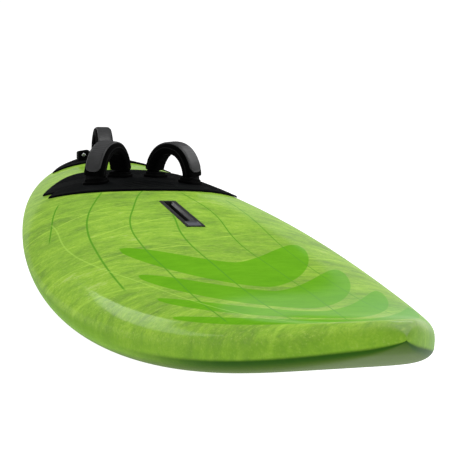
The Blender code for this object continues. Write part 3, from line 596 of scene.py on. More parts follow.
    peel = t.noise(t.mapped(), 260.0, 2.0, 0.4)
    wave = t.noise(t.mapped(), 9.0, 2.0, 0.4)
    dust = t.noise(t.mapped((1, 1, 1), (10, 20, 30)), 900.0, 2.0, 0.5)
    t.set(colour=tone, rough=t.spread(t.math("ADD", t.math("MULTIPLY", grain, 0.5), t.math("MULTIPLY", dust, 0.5)), 0.3, 0.7, 0.30, 0.42, False), level=0.0,
          coat=0.16, coat_rough=0.09, coat_ior=1.35,
          normal=t.bump(t.math("ADD", t.math("MULTIPLY", grain, 0.6), t.math("MULTIPLY", net, 0.4)), 0.12, 0.0003),
          coat_normal=t.bump(t.math("ADD", t.math("MULTIPLY", peel, 0.10), wave), 0.10, 0.0012))
    return t.material


def eva(name):
    """Closed-cell foam with a fine sanded surface."""
    t = Tree(name)
    cell = t.noise(t.mapped(), 1500.0, 2.0, 0.6)
    cloud = t.noise(t.mapped(), 22.0, 5.0, 0.62)
    wear = t.spread(t.noise(t.mapped((1, 2, 1)), 70.0, 5.0, 0.7), 0.55, 0.75)
    tone = t.mix(t.spread(cloud, 0.3, 0.7), (0.0009, 0.0012, 0.0014), (0.0032, 0.0040, 0.0042))
    tone = t.mix(t.math("MULTIPLY", t.spread(cell, 0.52, 0.75), 0.5), tone, (0.008, 0.009, 0.010))
    tone = t.mix(t.math("MULTIPLY", wear, 0.14), tone, (0.016, 0.017, 0.018))
    t.set(colour=tone, rough=t.spread(cloud, 0.2, 0.8, 0.74, 0.92), level=0.03, normal=t.bump(cell, 0.45, 0.00035))
    return t.material


def knit(name, colour, pitch=520.0, shine=0.02):
    """A close knit over foam: two crossed sets of fine ribs in the piece's own coordinates."""
    t = Tree(name)
    a = t.wave(t.mapped((1, 1, 1), (0, 0, 45)), pitch / 6.283, "X", 0.6, 1.0)
    b = t.wave(t.mapped((1, 1, 1), (0, 0, -45)), pitch / 6.283, "X", 0.6, 1.0)
    c = t.wave(t.mapped(), pitch / 6.283, "Z", 0.4, 1.0)
    weave = t.math("MULTIPLY", t.math("ADD", a, b), t.math("ADD", t.math("MULTIPLY", c, 0.5), 0.5))
    cloud = t.noise(t.mapped(), 40.0, 5.0, 0.65)
    lint = t.spread(t.noise(t.mapped((1, 3, 1)), 420.0, 3.0, 0.7), 0.66, 0.80)
    tone = t.mix(t.spread(cloud, 0.3, 0.7), [k * 0.6 for k in colour], [k * 1.5 for k in colour])
    tone = t.mix(t.math("MULTIPLY", t.spread(weave, 0.5, 1.4), 0.4), tone, [k * 2.2 for k in colour])
    tone = t.mix(t.math("MULTIPLY", lint, 0.06), tone, (0.04, 0.04, 0.04))
    t.set(colour=tone, rough=t.spread(cloud, 0.2, 0.8, 0.88, 0.98), level=0.02, sheen=shine, sheen_rough=0.5,
          normal=t.bump(weave, 0.55, 0.0004, t.bump(cloud, 0.2, 0.0012)))
    return t.material


def woven(name, colour):
    """Flat woven webbing: ribs across the band and a fine over and under along it."""
    t = Tree(name)
    a = t.wave(t.mapped(), 95.0, "Z", 0.0, 0.0, "TRI")
    b = t.wave(t.mapped((1, 1, 1), (0, 0, 40)), 150.0, "X", 0.0, 0.0, "TRI")
    h = t.math("ADD", t.math("MULTIPLY", a, 0.6), t.math("MULTIPLY", b, 0.4))
    t.set(colour=t.mix(t.spread(h, 0.2, 0.9), [k * 0.5 for k in colour], [k * 1.8 for k in colour]), rough=0.88, level=0.10, sheen=0.03, sheen_rough=0.5,
          normal=t.bump(h, 0.6, 0.0005))
    return t.material


def satin_panel(name):
    """A coated panel: fine pebble grain, satin, worn a little lighter."""
    t = Tree(name)
    pebble = t.cells(t.mapped(), 850.0, "F1")
    cloud = t.noise(t.mapped(), 30.0, 5.0, 0.6)
    rub = t.spread(t.noise(t.mapped((1, 1, 3)), 60.0, 5.0, 0.7), 0.52, 0.72)
    tone = t.mix(t.spread(cloud, 0.3, 0.7), (0.012, 0.012, 0.013), (0.024, 0.024, 0.026))
    tone = t.mix(t.math("MULTIPLY", rub, 0.35), tone, (0.050, 0.050, 0.052))
    t.set(colour=tone, rough=t.spread(cloud, 0.2, 0.8, 0.40, 0.56), level=0.5, normal=t.bump(pebble, 0.30, 0.00025))
    return t.material


def fin_composite():
    """Wet-sanded glass and carbon: a faint weave under a thin gloss."""
    t = Tree("fin_composite")
    a = t.wave(t.mapped((1, 1, 1), (0, 45, 0)), 130.0, "X", 0.0, 0.0)
    b = t.wave(t.mapped((1, 1, 1), (0, -45, 0)), 130.0, "X", 0.0, 0.0)
    weave = t.math("MULTIPLY", a, b)
    cloud = t.noise(t.mapped(), 14.0, 4.0)
    tone = t.mix(t.spread(weave, 0.2, 0.8), (0.012, 0.014, 0.016), (0.042, 0.047, 0.052))
    t.set(colour=t.mix(t.math("MULTIPLY", cloud, 0.4), tone, (0.020, 0.035, 0.030)), rough=t.spread(cloud, 0.2, 0.8, 0.22, 0.36), coat=0.5, coat_rough=0.12)
    return t.material


def insert_plastic():
    return plastic("insert_plastic", (0.72, 0.72, 0.70), 0.45)


LAMINATE = laminate()
EVA = eva("eva_foam")
BOX = plastic("box_plastic", (0.020, 0.021, 0.023), 0.34, 1100.0, 0.00008)
BEVEL_GREY = plastic("box_plastic_polished", (0.060, 0.062, 0.068), 0.20, 1400.0, 0.00003)
PADDING = knit("strap_padding_knit", (0.0008, 0.0008, 0.0009))
WEB = woven("strap_webbing_weave", (0.004, 0.004, 0.0045))
PANEL = satin_panel("strap_panel")
THREAD = woven("strap_thread", (0.012, 0.012, 0.013))
FOOT = plastic("anchor_plastic", (0.0012, 0.0012, 0.0013), 0.66, 1000.0, 0.0001, 0.02)
STEEL = metal("stainless_steel", (0.66, 0.67, 0.69))
BRASS = metal("brass", (0.70, 0.50, 0.22), 0.30)
FIN = fin_composite()
VENT = plastic("vent_plastic", (0.022, 0.022, 0.023), 0.38)
RUBBER = plastic("o_ring_rubber", (0.010, 0.010, 0.010), 0.70)
SLOT_LOOKS = {
    "core_foam": foam("core_foam", (0.86, 0.86, 0.84)),
    "dense_foam": foam("dense_foam", (0.66, 0.58, 0.38), 700.0),
    "insert_plastic": insert_plastic(),
    "brass": BRASS,
    "stainless": STEEL,
    "box_plastic": BOX,
    "anchor_plastic": FOOT,
    "pad_eva": EVA,
    "strap_padding": PADDING,
    "strap_webbing": WEB,
    "strap_cover": PANEL,
    "fin_composite": FIN,
    "vent_plastic": VENT,
    "o_ring": RUBBER,
    "deck_laminate": LAMINATE,
    "hull_laminate": LAMINATE,
}
for part in record["subparts"]:
    obj = frame["nodes"][part["node"]]
    obj.data.materials.clear()
    obj.data.materials.append(SLOT_LOOKS[part["material_slot"]])


# ---------------------------------------------------------------- board skin
def skin_point(x, angle, inset, side):
    p, m = (float(k) for k in section(x, side))
    at = inset - TRACK_STATION + (x + TRACK_STATION) * (LENGTH - 2 * inset) / LENGTH

    def less(value):
        return value * (1 - inset / max(value, 2 * inset)) if inset else value

    width = less(float(half_width(x)))
    rise = less(float(deck_rise(x) if side > 0 else hull_drop(x)))
    level = float(rail_height(at))
    if abs(angle) > 89.99:
        return (at, math.copysign(width, angle), level)
    turn = math.radians(abs(angle))
    y = math.copysign(width * math.sin(turn) ** (2 / p), angle)
    return (at, y, level + side * rise * math.cos(turn) ** (2 / m))


def skin_layer(bm, inset, count, deck_angles, hull_angles):
    xs = [TAIL_X + LENGTH * 0.5 * (1 - math.cos(math.pi * i / count)) for i in range(count + 1)]
    tail, nose = (bm.verts.new(skin_point(x, 90, inset, 1)) for x in (xs[0], xs[-1]))
    rows = []
    for x in xs[1:-1]:
        row = [skin_point(x, a, inset, 1) for a in deck_angles] + [skin_point(x, a, inset, -1) for a in hull_angles]
        rows.append([bm.verts.new(p) for p in row])
    size = len(rows[0])
    for a, b in zip(rows, rows[1:]):
        for i in range(size):
            j = (i + 1) % size
            bm.faces.new((a[i], a[j], b[j], b[i]))
    for pole, row in ((tail, rows[0]), (nose, rows[-1])):
        for i in range(size):
            bm.faces.new((pole, row[i], row[(i + 1) % size]))


def open_hole(bm, outline, deck):
    """Cuts an outline, given anticlockwise as (x, y), through both layers of the deck or of the hull and joins the two rims."""
    px, py = [p[0] for p in outline], [p[1] for p in outline]
    level = rail_height
    sides = list(zip(outline, outline[1:] + outline[:1]))

    def near():
        found = []
        for f in bm.faces:
            c = f.calc_center_median()
            if min(px) - 0.03 < c.x < max(px) + 0.03 and min(py) - 0.03 < c.y < max(py) + 0.03 and (c.z > float(level(c.x))) == deck:
                found.append(f)
        return found

    for (ax, ay), (bx, by) in sides:
        faces = near()
        geom = list({v for f in faces for v in f.verts}) + list({e for f in faces for e in f.edges}) + faces
        out = Vector((by - ay, ax - bx, 0)).normalized()
        bmesh.ops.bisect_plane(bm, geom=geom, dist=1e-7, plane_co=(ax, ay, 0), plane_no=out)

    def inside(c):
        return all((by - ay) * (c.x - ax) + (ax - bx) * (c.y - ay) < 1e-9 for (ax, ay), (bx, by) in sides)

    gone = [f for f in near() if inside(f.calc_center_median())]
    around = {v for f in near() for v in f.verts}
    bmesh.ops.delete(bm, geom=gone, context="FACES")
    form = deck_z if deck else hull_z
    for v in around:
        if v.is_valid:
            z = float(form(v.co.x, v.co.y))
            if abs(v.co.z - z) < 0.0012:
                v.co.z = z
    rims = [e for e in bm.edges if e.is_boundary]
    bmesh.ops.bridge_loops(bm, edges=rims)


def fin_frame():
    x = FIN_STATION - TRACK_STATION
    slope = float(rocker(x + 0.1) - rocker(x - 0.1)) / 0.2
    return Matrix.Translation((x, 0, float(rocker(x)) + 0.0004)) @ Matrix.Rotation(-math.atan(slope), 4, "Y")


FIN_FRAME = fin_frame()
bm = bmesh.new()
deck_angles = [90.0 * i / 44 for i in range(-44, 45)]
flat = [0.1 * k for k in range(8)]
first = math.degrees(math.asin(0.7**3.5))
hull_half = [math.degrees(math.asin(q**3.5)) for q in flat] + [first + (90 - first) * k / 34 for k in range(1, 34)]
hull_angles = list(reversed(hull_half)) + [-a for a in hull_half[1:]]
for inset in (0.0, SKIN):
    skin_layer(bm, inset, 190, deck_angles, hull_angles)
a, b = TRACK[0] / 2 + GAP, TRACK[1] / 2 + GAP
open_hole(bm, [(-a, -b), (a, -b), (a, b), (-a, b)], True)
open_hole(bm, [(VENT_X + 0.0123 * math.cos(math.tau * k / 28), 0.0123 * math.sin(math.tau * k / 28)) for k in range(28)], True)
a, b, c = FIN_BOX[0] / 2 + GAP, FIN_BOX[1] / 2 + GAP, FIN_FRAME.translation.x
open_hole(bm, [(c - a, -b), (c + a, -b), (c + a, b), (c - a, b)], False)
skin = show("board_skin", mesh_of(bm), LAMINATE, 48)
piece(skin, "deck_laminate", "deck_shell", "hull_shell")


# ---------------------------------------------------------------- deck pads
def lines_between(first, last, pitch, fine=(0.0006, 0.0014, 0.0026)):
    """Grid lines from first to last, close together near both ends."""
    inner = int(round((last - first - 2 * fine[-1]) / pitch))
    middle = [first + fine[-1] + (last - first - 2 * fine[-1]) * i / inner for i in range(inner + 1)]
    return [first, *(first + f for f in fine[:-1]), *middle, *(last - f for f in reversed(fine[:-1])), last]


def groove(value, pitch, wide):
    off = np.abs((value / pitch) % 1.0 - 0.5) * pitch
    return np.clip(1 - (off / wide) ** 2, 0, 1) ** 1.5


def deck_pad(name, edge, front, rear, cuts, relief, pitch=0.0023):
    ts = np.array(lines_between(0.0, float(front(0.0) - rear(0.0)), pitch)) / float(front(0.0) - rear(0.0))
    reach = edge * float(half_width(0.5 * (front(0.0) + rear(0.0))))
    qs = np.array(lines_between(-reach, reach, pitch)) / reach * edge
    t, q = np.meshgrid(ts, qs, indexing="ij")
    x = np.full(t.shape, 0.5 * float(front(0.0) + rear(0.0)))
    for _ in range(14):
        y = q * half_width(x)
        x = rear(y) + t * (front(y) - rear(y))
    y = q * half_width(x)
    bm = bmesh.new()
    grid = [[bm.verts.new((x[i, k], y[i, k], 0)) for k in range(t.shape[1])] for i in range(t.shape[0])]
    for i in range(t.shape[0] - 1):
        for k in range(t.shape[1] - 1):
            bm.faces.new((grid[i][k], grid[i + 1][k], grid[i + 1][k + 1], grid[i][k + 1]))
    for apex, one, other in cuts:
        # the wedge between the two lines that leave the apex, with closer lines along its edges
        apex, one, other = Vector(apex), Vector(one), Vector(other)
        walls = []
        for end, mate in ((one, other), (other, one)):
            along = (end - apex).normalized()
            out = Vector((-along.y, along.x))
            if out.dot(mate - apex) > 0:
                out = -out
            walls.append(out)
        spot = (apex + one + other) / 3
        for wall in walls:
            for offset in (0.0, 0.0007, 0.0016, 0.0028):
                faces = [f for f in bm.faces if (Vector(f.calc_center_median()[:2]) - spot).length < 0.085]
                geom = list({v for f in faces for v in f.verts}) + list({e for f in faces for e in f.edges}) + faces
                at = apex + wall * offset
                bmesh.ops.bisect_plane(bm, geom=geom, dist=1e-7, plane_co=(at.x, at.y, 0), plane_no=(wall.x, wall.y, 0))
        gone = []
        for f in bm.faces:
            c = Vector(f.calc_center_median()[:2])
            if (c - spot).length < 0.12 and all(wall.dot(c - apex) < 0 for wall in walls) and (c - apex).dot(spot - apex) > 0:
                gone.append(f)
        bmesh.ops.delete(bm, geom=gone, context="FACES")
    bmesh.ops.delete(bm, geom=[v for v in bm.verts if not v.link_faces], context="VERTS")
    bm.verts.index_update()
    co = np.array([v.co[:2] for v in bm.verts])
    rim = [e for e in bm.edges if e.is_boundary]
    tree = KDTree(len(rim) * 5)
    for n, e in enumerate(rim):
        for k in range(5):
            p = e.verts[0].co.lerp(e.verts[1].co, k / 5)
            tree.insert((p.x, p.y, 0), n * 5 + k)
    tree.balance()
    away = np.array([tree.find((p[0], p[1], 0))[2] for p in co])
    radius = 0.0026
    drop = radius - np.sqrt(np.maximum(0, radius**2 - np.maximum(0, radius - away) ** 2))
    base = deck_z(co[:, 0], co[:, 1])
    lower = drop + relief(co[:, 0], co[:, 1]) * np.clip((away - 0.008) / 0.004, 0, 1)
    high = base + PAD_TOP - lower
    low = base + 3 * GAP
    faces = [[v.index for v in f.verts] for f in bm.faces]
    edges = [(e.verts[0].index, e.verts[1].index) for e in rim]
    bm.free()
    bm = bmesh.new()
    top = [bm.verts.new((p[0], p[1], z)) for p, z in zip(co, high)]
    bottom = [bm.verts.new((p[0], p[1], z)) for p, z in zip(co, low)]
    for f in faces:
        bm.faces.new([top[i] for i in f])
        bm.faces.new([bottom[i] for i in reversed(f)])
    for i, j in edges:
        bm.faces.new((top[i], top[j], bottom[j], bottom[i]))
    return show(name, mesh_of(bm), EVA, 50)


def front_pad_front(y):
    return 1.060 - TRACK_STATION - 2.2 * y * y


def front_pad_rear(y):
    return 0.672 - TRACK_STATION + 0.21 * np.maximum(0.0, (np.abs(y) - 0.13) / 0.106) ** 1.7


def rear_pad_front(y):
    return 0.360 - TRACK_STATION + 2.0 * y * y


def rear_pad_rear(y):
    return 0.040 - TRACK_STATION + 0.8 * y * y


def window(value, low, high, soft=0.003):
    return np.clip((value - low) / soft, 0, 1) * np.clip((high - value) / soft, 0, 1)


def front_relief(x, y):
    s = x + TRACK_STATION
    a = math.radians(58)
    one = groove(x * math.cos(a) + y * math.sin(a), 0.0135, 0.0030)
    two = groove(x * math.cos(a) - y * math.sin(a), 0.0135, 0.0030)
    bars = groove(x * math.cos(math.radians(38)) + y * math.sin(math.radians(38)), 0.0190, 0.0046) * window(np.abs(y), -1, 0.060) * window(s, 0.925, 1.036)
    heel = window(np.abs(y), -1, 0.215) * window(s, 0.705, 0.800)
    ribs = groove(x * 0.80 + np.abs(y) * 0.60, 0.0105, 0.0028) * window(np.abs(y), 0.140, 0.245) * window(s, 0.872, 0.990)
    return 0.0015 * np.maximum(one, two) * heel + 0.0023 * bars + 0.0013 * ribs


def rear_relief(x, y):
    s = x + TRACK_STATION
    a = math.radians(58)
    one = groove(x * math.cos(a) + y * math.sin(a), 0.0135, 0.0030)
    two = groove(x * math.cos(a) - y * math.sin(a), 0.0135, 0.0030)
    return 0.0015 * np.maximum(one, two) * window(np.abs(y), 0.052, 0.185) * window(s, 0.070, 0.345)


def station(x, y):
    return (x - TRACK_STATION, y)


wedge = [(station(0.910, s * 0.208), station(0.990, s * 0.248), station(0.830, s * 0.269)) for s in (1, -1)]
front_foam = deck_pad("front_pad_foam", 0.86, front_pad_front, front_pad_rear, wedge, front_relief)
rear_foam = deck_pad("rear_pad_foam", 0.84, rear_pad_front, rear_pad_rear, [], rear_relief)
for obj, node in ((front_foam, "front_pad"), (rear_foam, "rear_pad")):
    piece(obj, "pad_eva", node)


# ---------------------------------------------------------------- foot straps
def anchor_points(strap):
    if strap == "rear":
        return [(REAR_STRAP_X - ANCHOR_HALF_SPAN, 0.0), (REAR_STRAP_X + ANCHOR_HALF_SPAN, 0.0)]
    side = 1 if strap == "port" else -1
    turn = math.radians(FRONT_STRAP_TURN)
    dx, dy = ANCHOR_HALF_SPAN * math.cos(turn), ANCHOR_HALF_SPAN * math.sin(turn)
    return [(FRONT_STRAP_X - dx, side * (FRONT_STRAP_Y - dy)), (FRONT_STRAP_X + dx, side * (FRONT_STRAP_Y + dy))]


def strap_frame(strap):
    inner, outer = [Vector((x, y, float(deck_z(x, y)) + PAD_TOP)) for x, y in anchor_points(strap)]
    along = (outer - inner).normalized()
    across = Vector((0, 0, 1)).cross(along).normalized()
    up_ = along.cross(across)
    middle = (inner + outer) / 2
    return Matrix([[along[i], across[i], up_[i], middle[i]] for i in range(3)] + [[0, 0, 0, 1]])


def arch(t):
    c, s = math.cos(math.radians(t)), math.sin(math.radians(t))
    a, b = ARCH_POWER
    return math.copysign(ARCH_HALF_SPAN * abs(c) ** (2 / a), c), 0.001 + ARCH_RISE * abs(s) ** (2 / b)


def outward(t):
    (u0, n0), (u1, n1) = arch(max(0.0, t - 0.5)), arch(min(180.0, t + 0.5))
    along = Vector((u1 - u0, n1 - n0)).normalized()
    return Vector((along.y, -along.x))


def even_angles(first, last, count):
    """Angles with an even spacing along the arch."""
    fine = [first + (last - first) * i / 600 for i in range(601)]
    pts = [Vector(arch(t)) for t in fine]
    run = np.concatenate([[0], np.cumsum([(b - a).length for a, b in zip(pts, pts[1:])])])
    return [float(v) for v in np.interp(np.linspace(0, run[-1], count), run, fine)], float(run[-1])


def sleeve_inside(t):
    return SLEEVE_IN + (SLEEVE_IN_FOOT - SLEEVE_IN) * (1 - math.sin(math.radians(t))) ** 1.3


def sleeve_form(shrink, first=12.8, corner=0.0062):
    """The padding's shape before it swells: a band along the arch with round corners and closed ends."""
    bm = bmesh.new()
    angles, _ = even_angles(first, 180 - first, 56)
    rings = []
    half = SLEEVE_WIDTH / 2 - shrink
    for t in angles:
        (u, n), out = arch(t), outward(t)
        high, low = SLEEVE_OUT - shrink, -sleeve_inside(t) + shrink
        ring = []
        for cd, cv, start in ((high - corner, half - corner, 0), (low + corner, half - corner, 90), (low + corner, -half + corner, 180), (high - corner, -half + corner, 270)):
            for k in range(5):
                a = math.radians(start + 22.5 * k)
                ring.append((cd + corner * math.cos(a), cv + corner * math.sin(a)))
        rings.append([(u + d * out.x, v, n + d * out.y) for d, v in ring])
    ring_skin(bm, rings)
    return mesh_of(bm)


def swell(mesh, voxel, pressure, cap, frames=20):
    """Padding as a pressed closed cloth: remeshed, blown up a little, and held within the cap."""
    obj = scratch(mesh)
    m = obj.modifiers.new("voxel", "REMESH")
    m.mode, m.voxel_size = "VOXEL", voxel
    settled(obj)
    count = len(obj.data.vertices)
    rest = np.zeros(count * 3)
    obj.data.vertices.foreach_get("co", rest)
    rest = rest.reshape(-1, 3)
    m = obj.modifiers.new("cloth", "CLOTH")
    s = m.settings
    s.use_pressure, s.uniform_pressure_force = True, pressure
    s.effector_weights.gravity = 0.0
    s.quality = 6
    s.mass = 0.15
    s.tension_stiffness = s.compression_stiffness = 9.0
    s.shear_stiffness = 5.0
    s.bending_stiffness = 0.6
    m.collision_settings.use_collision = False
    m.point_cache.frame_start, m.point_cache.frame_end = 1, frames
    scene = bpy.context.scene
    for f in range(1, frames + 1):
        scene.frame_set(f)
    graph = bpy.context.evaluated_depsgraph_get()
    got = np.array([v.co[:] for v in obj.evaluated_get(graph).data.vertices])
    obj.modifiers.clear()
    scene.frame_set(1)
    move = got - rest
    size = np.linalg.norm(move, axis=1)
    print("swell: mean %.2f mm, largest %.2f mm, %d points" % (size.mean() * 1000, size.max() * 1000, count))
    move *= (cap * np.tanh(size / cap) / np.maximum(size, 1e-9))[:, None]
    rest = rest + move
    obj.data.vertices.foreach_set("co", rest.ravel())
    obj.data.update()
    m = obj.modifiers.new("even", "SMOOTH")
    m.factor, m.iterations = 0.5, 2
    m = obj.modifiers.new("fine", "SUBSURF")
    m.levels = m.render_levels = 1
    settled(obj)
    made = obj.data.copy()
    bpy.data.objects.remove(obj)
    return made


def surface_under(tree, t, v, toward=1.0):
    """How far the padding reaches from the webbing's line at (t, v), outward or inward."""
    (u, n), out = arch(t), outward(t)
    d = Vector((out.x, 0, out.y)) * toward
    start = Vector((u, v, n)) + d * 0.03
    hit = tree.ray_cast(start, -d, 0.04)
    return 0.03 - hit[3] if hit[0] is not None else None


def panel_mesh(tree):
    """The smooth outer panel: it lies on the padding, has round ends and edges, and fine ribs over the instep."""
    count, cols = 150, 22
    first, last, full, thick = 20.5, 159.5, 0.0208, 0.0018
    angles, run = even_angles(first, last, count)
    top, bottom = [], []
    for i, t in enumerate(angles):
        s = run * i / (count - 1)
        near = min(s, run - s)
        share = math.sqrt(max(0.0, 1 - (1 - min(1.0, near / 0.014)) ** 2))
        half = full * (0.30 + 0.70 * share)
        (u, n), out = arch(t), outward(t)
        high_row, low_row = [], []
        for k in range(cols + 1):
            c = math.sin(math.radians(-90 + 180 * k / cols))
            v = half * c
            found = surface_under(tree, t, v)
            under = max(found if found is not None else 0.0, SLEEVE_OUT - 0.0035)
            edge = min(near + 0.0004, half - abs(v) + 0.0002)
            lip = thick * math.sqrt(max(0.0, 1 - (1 - min(1.0, edge / 0.0017)) ** 2))
            mid = min(1.0, max(0.0, (near - run * 0.20) / 0.012)) * min(1.0, max(0.0, (half - abs(v) - 0.0035) / 0.002))
            rib = 0.00055 * mid * max(0.0, math.sin(math.tau * s / 0.0052)) ** 0.8
            seam = 0.0006 * math.exp(-(((edge - 0.0042) / 0.0007) ** 2))
            low_row.append((under - 0.0004, v))
            high_row.append((under + 0.0002 + lip + rib - seam, v))
        top.append([(u + d * out.x, v, n + d * out.y) for d, v in high_row])
        bottom.append([(u + d * out.x, v, n + d * out.y) for d, v in low_row])
    bm = bmesh.new()
    ring_skin(bm, [a + list(reversed(b)) for a, b in zip(top, bottom)])
    return mesh_of(bm)


def tube(points, radius, sides=8):
    bm = bmesh.new()
    rings = []
    for i, p in enumerate(points):
        a, b = points[max(0, i - 1)], points[min(len(points) - 1, i + 1)]
        along = (b - a).normalized()
        side = along.cross(Vector((0, 1, 0)))
        side = side.normalized() if side.length > 1e-6 else Vector((1, 0, 0))
        other = along.cross(side)
        rings.append([p + radius * (math.cos(math.tau * k / sides) * side + math.sin(math.tau * k / sides) * other) for k in range(sides)])
    ring_skin(bm, rings)
    return mesh_of(bm)


def edge_welt(tree):
    """The bound seam that closes the padding along the middle of each side."""
    parts = []
    angles, _ = even_angles(13.0, 167.0, 110)
    for side in (-1, 1):
        pts = []
        for t in angles:
            (u, n), out = arch(t), outward(t)
            d = -0.0012
            start = Vector((u + d * out.x, side * 0.05, n + d * out.y))
            hit = tree.ray_cast(start, Vector((0, -side, 0)), 0.05)
            v = side * (0.05 - (hit[3] if hit[0] is not None else 0.0225))
            pts.append(Vector((start.x, v, start.z)))
        parts.append(tube(pts, 0.0011))
    return joined(parts)


def stitches(tree):
    """Two rows of thread along the panel's edges."""
    parts = []
    angles, run = even_angles(26.0, 154.0, 2 * 48)
    for side in (-1, 1):
        for a, b in zip(angles[0::2], angles[1::2]):
            pts = []
            for k in range(4):
                t = a + (b - a) * k / 3
                (u, n), out = arch(t), outward(t)
                v = side * 0.0166
                found = surface_under(tree, t, v) or SLEEVE_OUT
                d = found + 0.0016 + 0.00035 * math.sin(math.pi * k / 3)
                pts.append(Vector((u + d * out.x, v, n + d * out.y)))
            parts.append(tube(pts, 0.00042, 6))
    return joined(parts)


def webbing_mesh():
    half, thick = WEBBING[0] / 2, WEBBING[1] / 2
    angles = [2.2, 4.0, 6.0, 8.0, 10.0, 12.0, *[12 + 156 * i / 60 for i in range(1, 60)], 168.0, 170.0, 172.0, 174.0, 176.0, 177.8]
    bm = bmesh.new()
    rings = []
    for t in angles:
        (u, n), out = arch(t), outward(t)
        ring = [(thick, -half + 0.0006), (thick, half - 0.0006), (thick * 0.4, half), (-thick * 0.4, half), (-thick, half - 0.0006),
                (-thick, -half + 0.0006), (-thick * 0.4, -half), (thick * 0.4, -half)]
        rings.append([(u + d * out.x, v, n + d * out.y) for d, v in ring])
    ring_skin(bm, rings)
    return mesh_of(bm)


def anchor_mesh(place, centre, sign):
    """A moulded foot in two rounded steps on the pad's curve, with its slot and its screw bore."""
    half_u, half_v, high = ANCHOR[0] / 2, ANCHOR[1] / 2, ANCHOR[2]
    axis = Vector((place[0][0], place[1][0], 0)).normalized() * sign
    side = Vector((-axis.y, axis.x, 0))

    def ring(inset, height):
        points, corner = [], max(0.002, 0.013 - inset)
        a, b = half_u - inset, half_v - inset
        for cu, cv, start in ((1, 1, 0), (-1, 1, 90), (-1, -1, 180), (1, -1, 270)):
            for k in range(9):
                turn = math.radians(start + 90 * k / 8)
                u = cu * (a - corner) + corner * math.cos(turn) + 0.0044
                v = cv * (b - corner) + corner * math.sin(turn)
                x, y = centre[0] + axis.x * u + side.x * v, centre[1] + axis.y * u + side.y * v
                points.append(Vector((x, y, float(deck_z(x, y)) + PAD_TOP + 0.0009 + height)))
        return points

    def arc(inset, height, radius, steps=4):
        return [(inset + radius * (1 - math.cos(math.radians(90 * k / steps))), height - radius * (1 - math.sin(math.radians(90 * k / steps)))) for k in range(steps + 1)]

    profile = [(0.0, 0.0), *arc(0.0, 0.0057, 0.0016), (0.0040, 0.0059), (0.0043, 0.0064), *arc(0.0044, high, 0.0022)]
    bm = bmesh.new()
    ring_skin(bm, [ring(i, h) for i, h in profile])
    body = mesh_of(bm)
    base = float(deck_z(*centre)) + PAD_TOP + 0.0009
    bore = turned([(0, base + 0.03), (0.0070, base + 0.03), (0.0070, base + 0.0052), (0.0034, base + 0.0052), (0.0034, base - 0.01), (0, base - 0.01)], 32, Matrix.Translation((*centre, 0)))
    u = sign * ARCH_HALF_SPAN
    slot = block((u - 0.0026, -WEBBING[0] / 2 - 0.0010, 0.0032), (u + 0.0026, WEBBING[0] / 2 + 0.0010, 0.04), place)
    return carved(body, [bore, slot])


def screw_mesh(length, place):
    """A pan head with a star-shaped recess, and its shank."""
    head = rounded([(0.0, 0.0042), (0.0046, 0.0042), (0.0062, 0.0024), (0.0062, 0.0), (0.0030, 0.0)], 0.0009, 3)
    body = turned(head + [(0.0030, -length + 0.002), (0.0012, -length), (0, -length)], 36)
    star = [((0.0021 + 0.00045 * math.cos(6 * a)) * math.cos(a), (0.0021 + 0.00045 * math.cos(6 * a)) * math.sin(a)) for a in [math.tau * k / 48 for k in range(48)]]
    made = carved(body, [prism(star, 0.0018, 0.006)])
    made.transform(place)
    return made


for strap, prefix in (("port", "front_port"), ("starboard", "front_starboard"), ("rear", "rear")):
    place = strap_frame(strap)
    form = swell(sleeve_form(0.0013), 0.004, 7.0, 0.0022)
    tree = BVHTree.FromPolygons([v.co[:] for v in form.vertices], [p.vertices[:] for p in form.polygons])
    panel, welt, thread = panel_mesh(tree), edge_welt(tree), stitches(tree)
    webbing = webbing_mesh()
    for m in (form, panel, welt, thread, webbing):
        m.transform(place)
    padding = show(prefix + "_strap_padding", form, PADDING, 80)
    piece(padding, "strap_padding", prefix + "_strap_sleeve")
    piece(show(prefix + "_strap_panel", panel, PANEL, 60), "strap_cover", prefix + "_strap_cover")
    piece(show(prefix + "_strap_band", webbing, WEB, 50), "strap_webbing", prefix + "_strap_webbing")
    piece(show(prefix + "_strap_welt", welt, WEB, 60), "strap_webbing")
    piece(show(prefix + "_strap_stitches", thread, THREAD, 60), "strap_webbing")
    names = ("aft", "fore") if strap == "rear" else ("inner", "outer")
    for centre, end, sign in zip(anchor_points(strap), names, (-1, 1)):
        piece(show(f"{prefix}_foot_{end}", anchor_mesh(place, centre, sign), FOOT, 40), "anchor_plastic", f"{prefix}_anchor_{end}")
        seat = float(deck_z(*centre)) + PAD_TOP + 0.0009 + 0.0052 + GAP
        piece(show(f"{prefix}_bolt_{end}", screw_mesh(0.0285, Matrix.Translation((*centre, seat))), STEEL, 30), "stainless", f"{prefix}_screw_{end}")


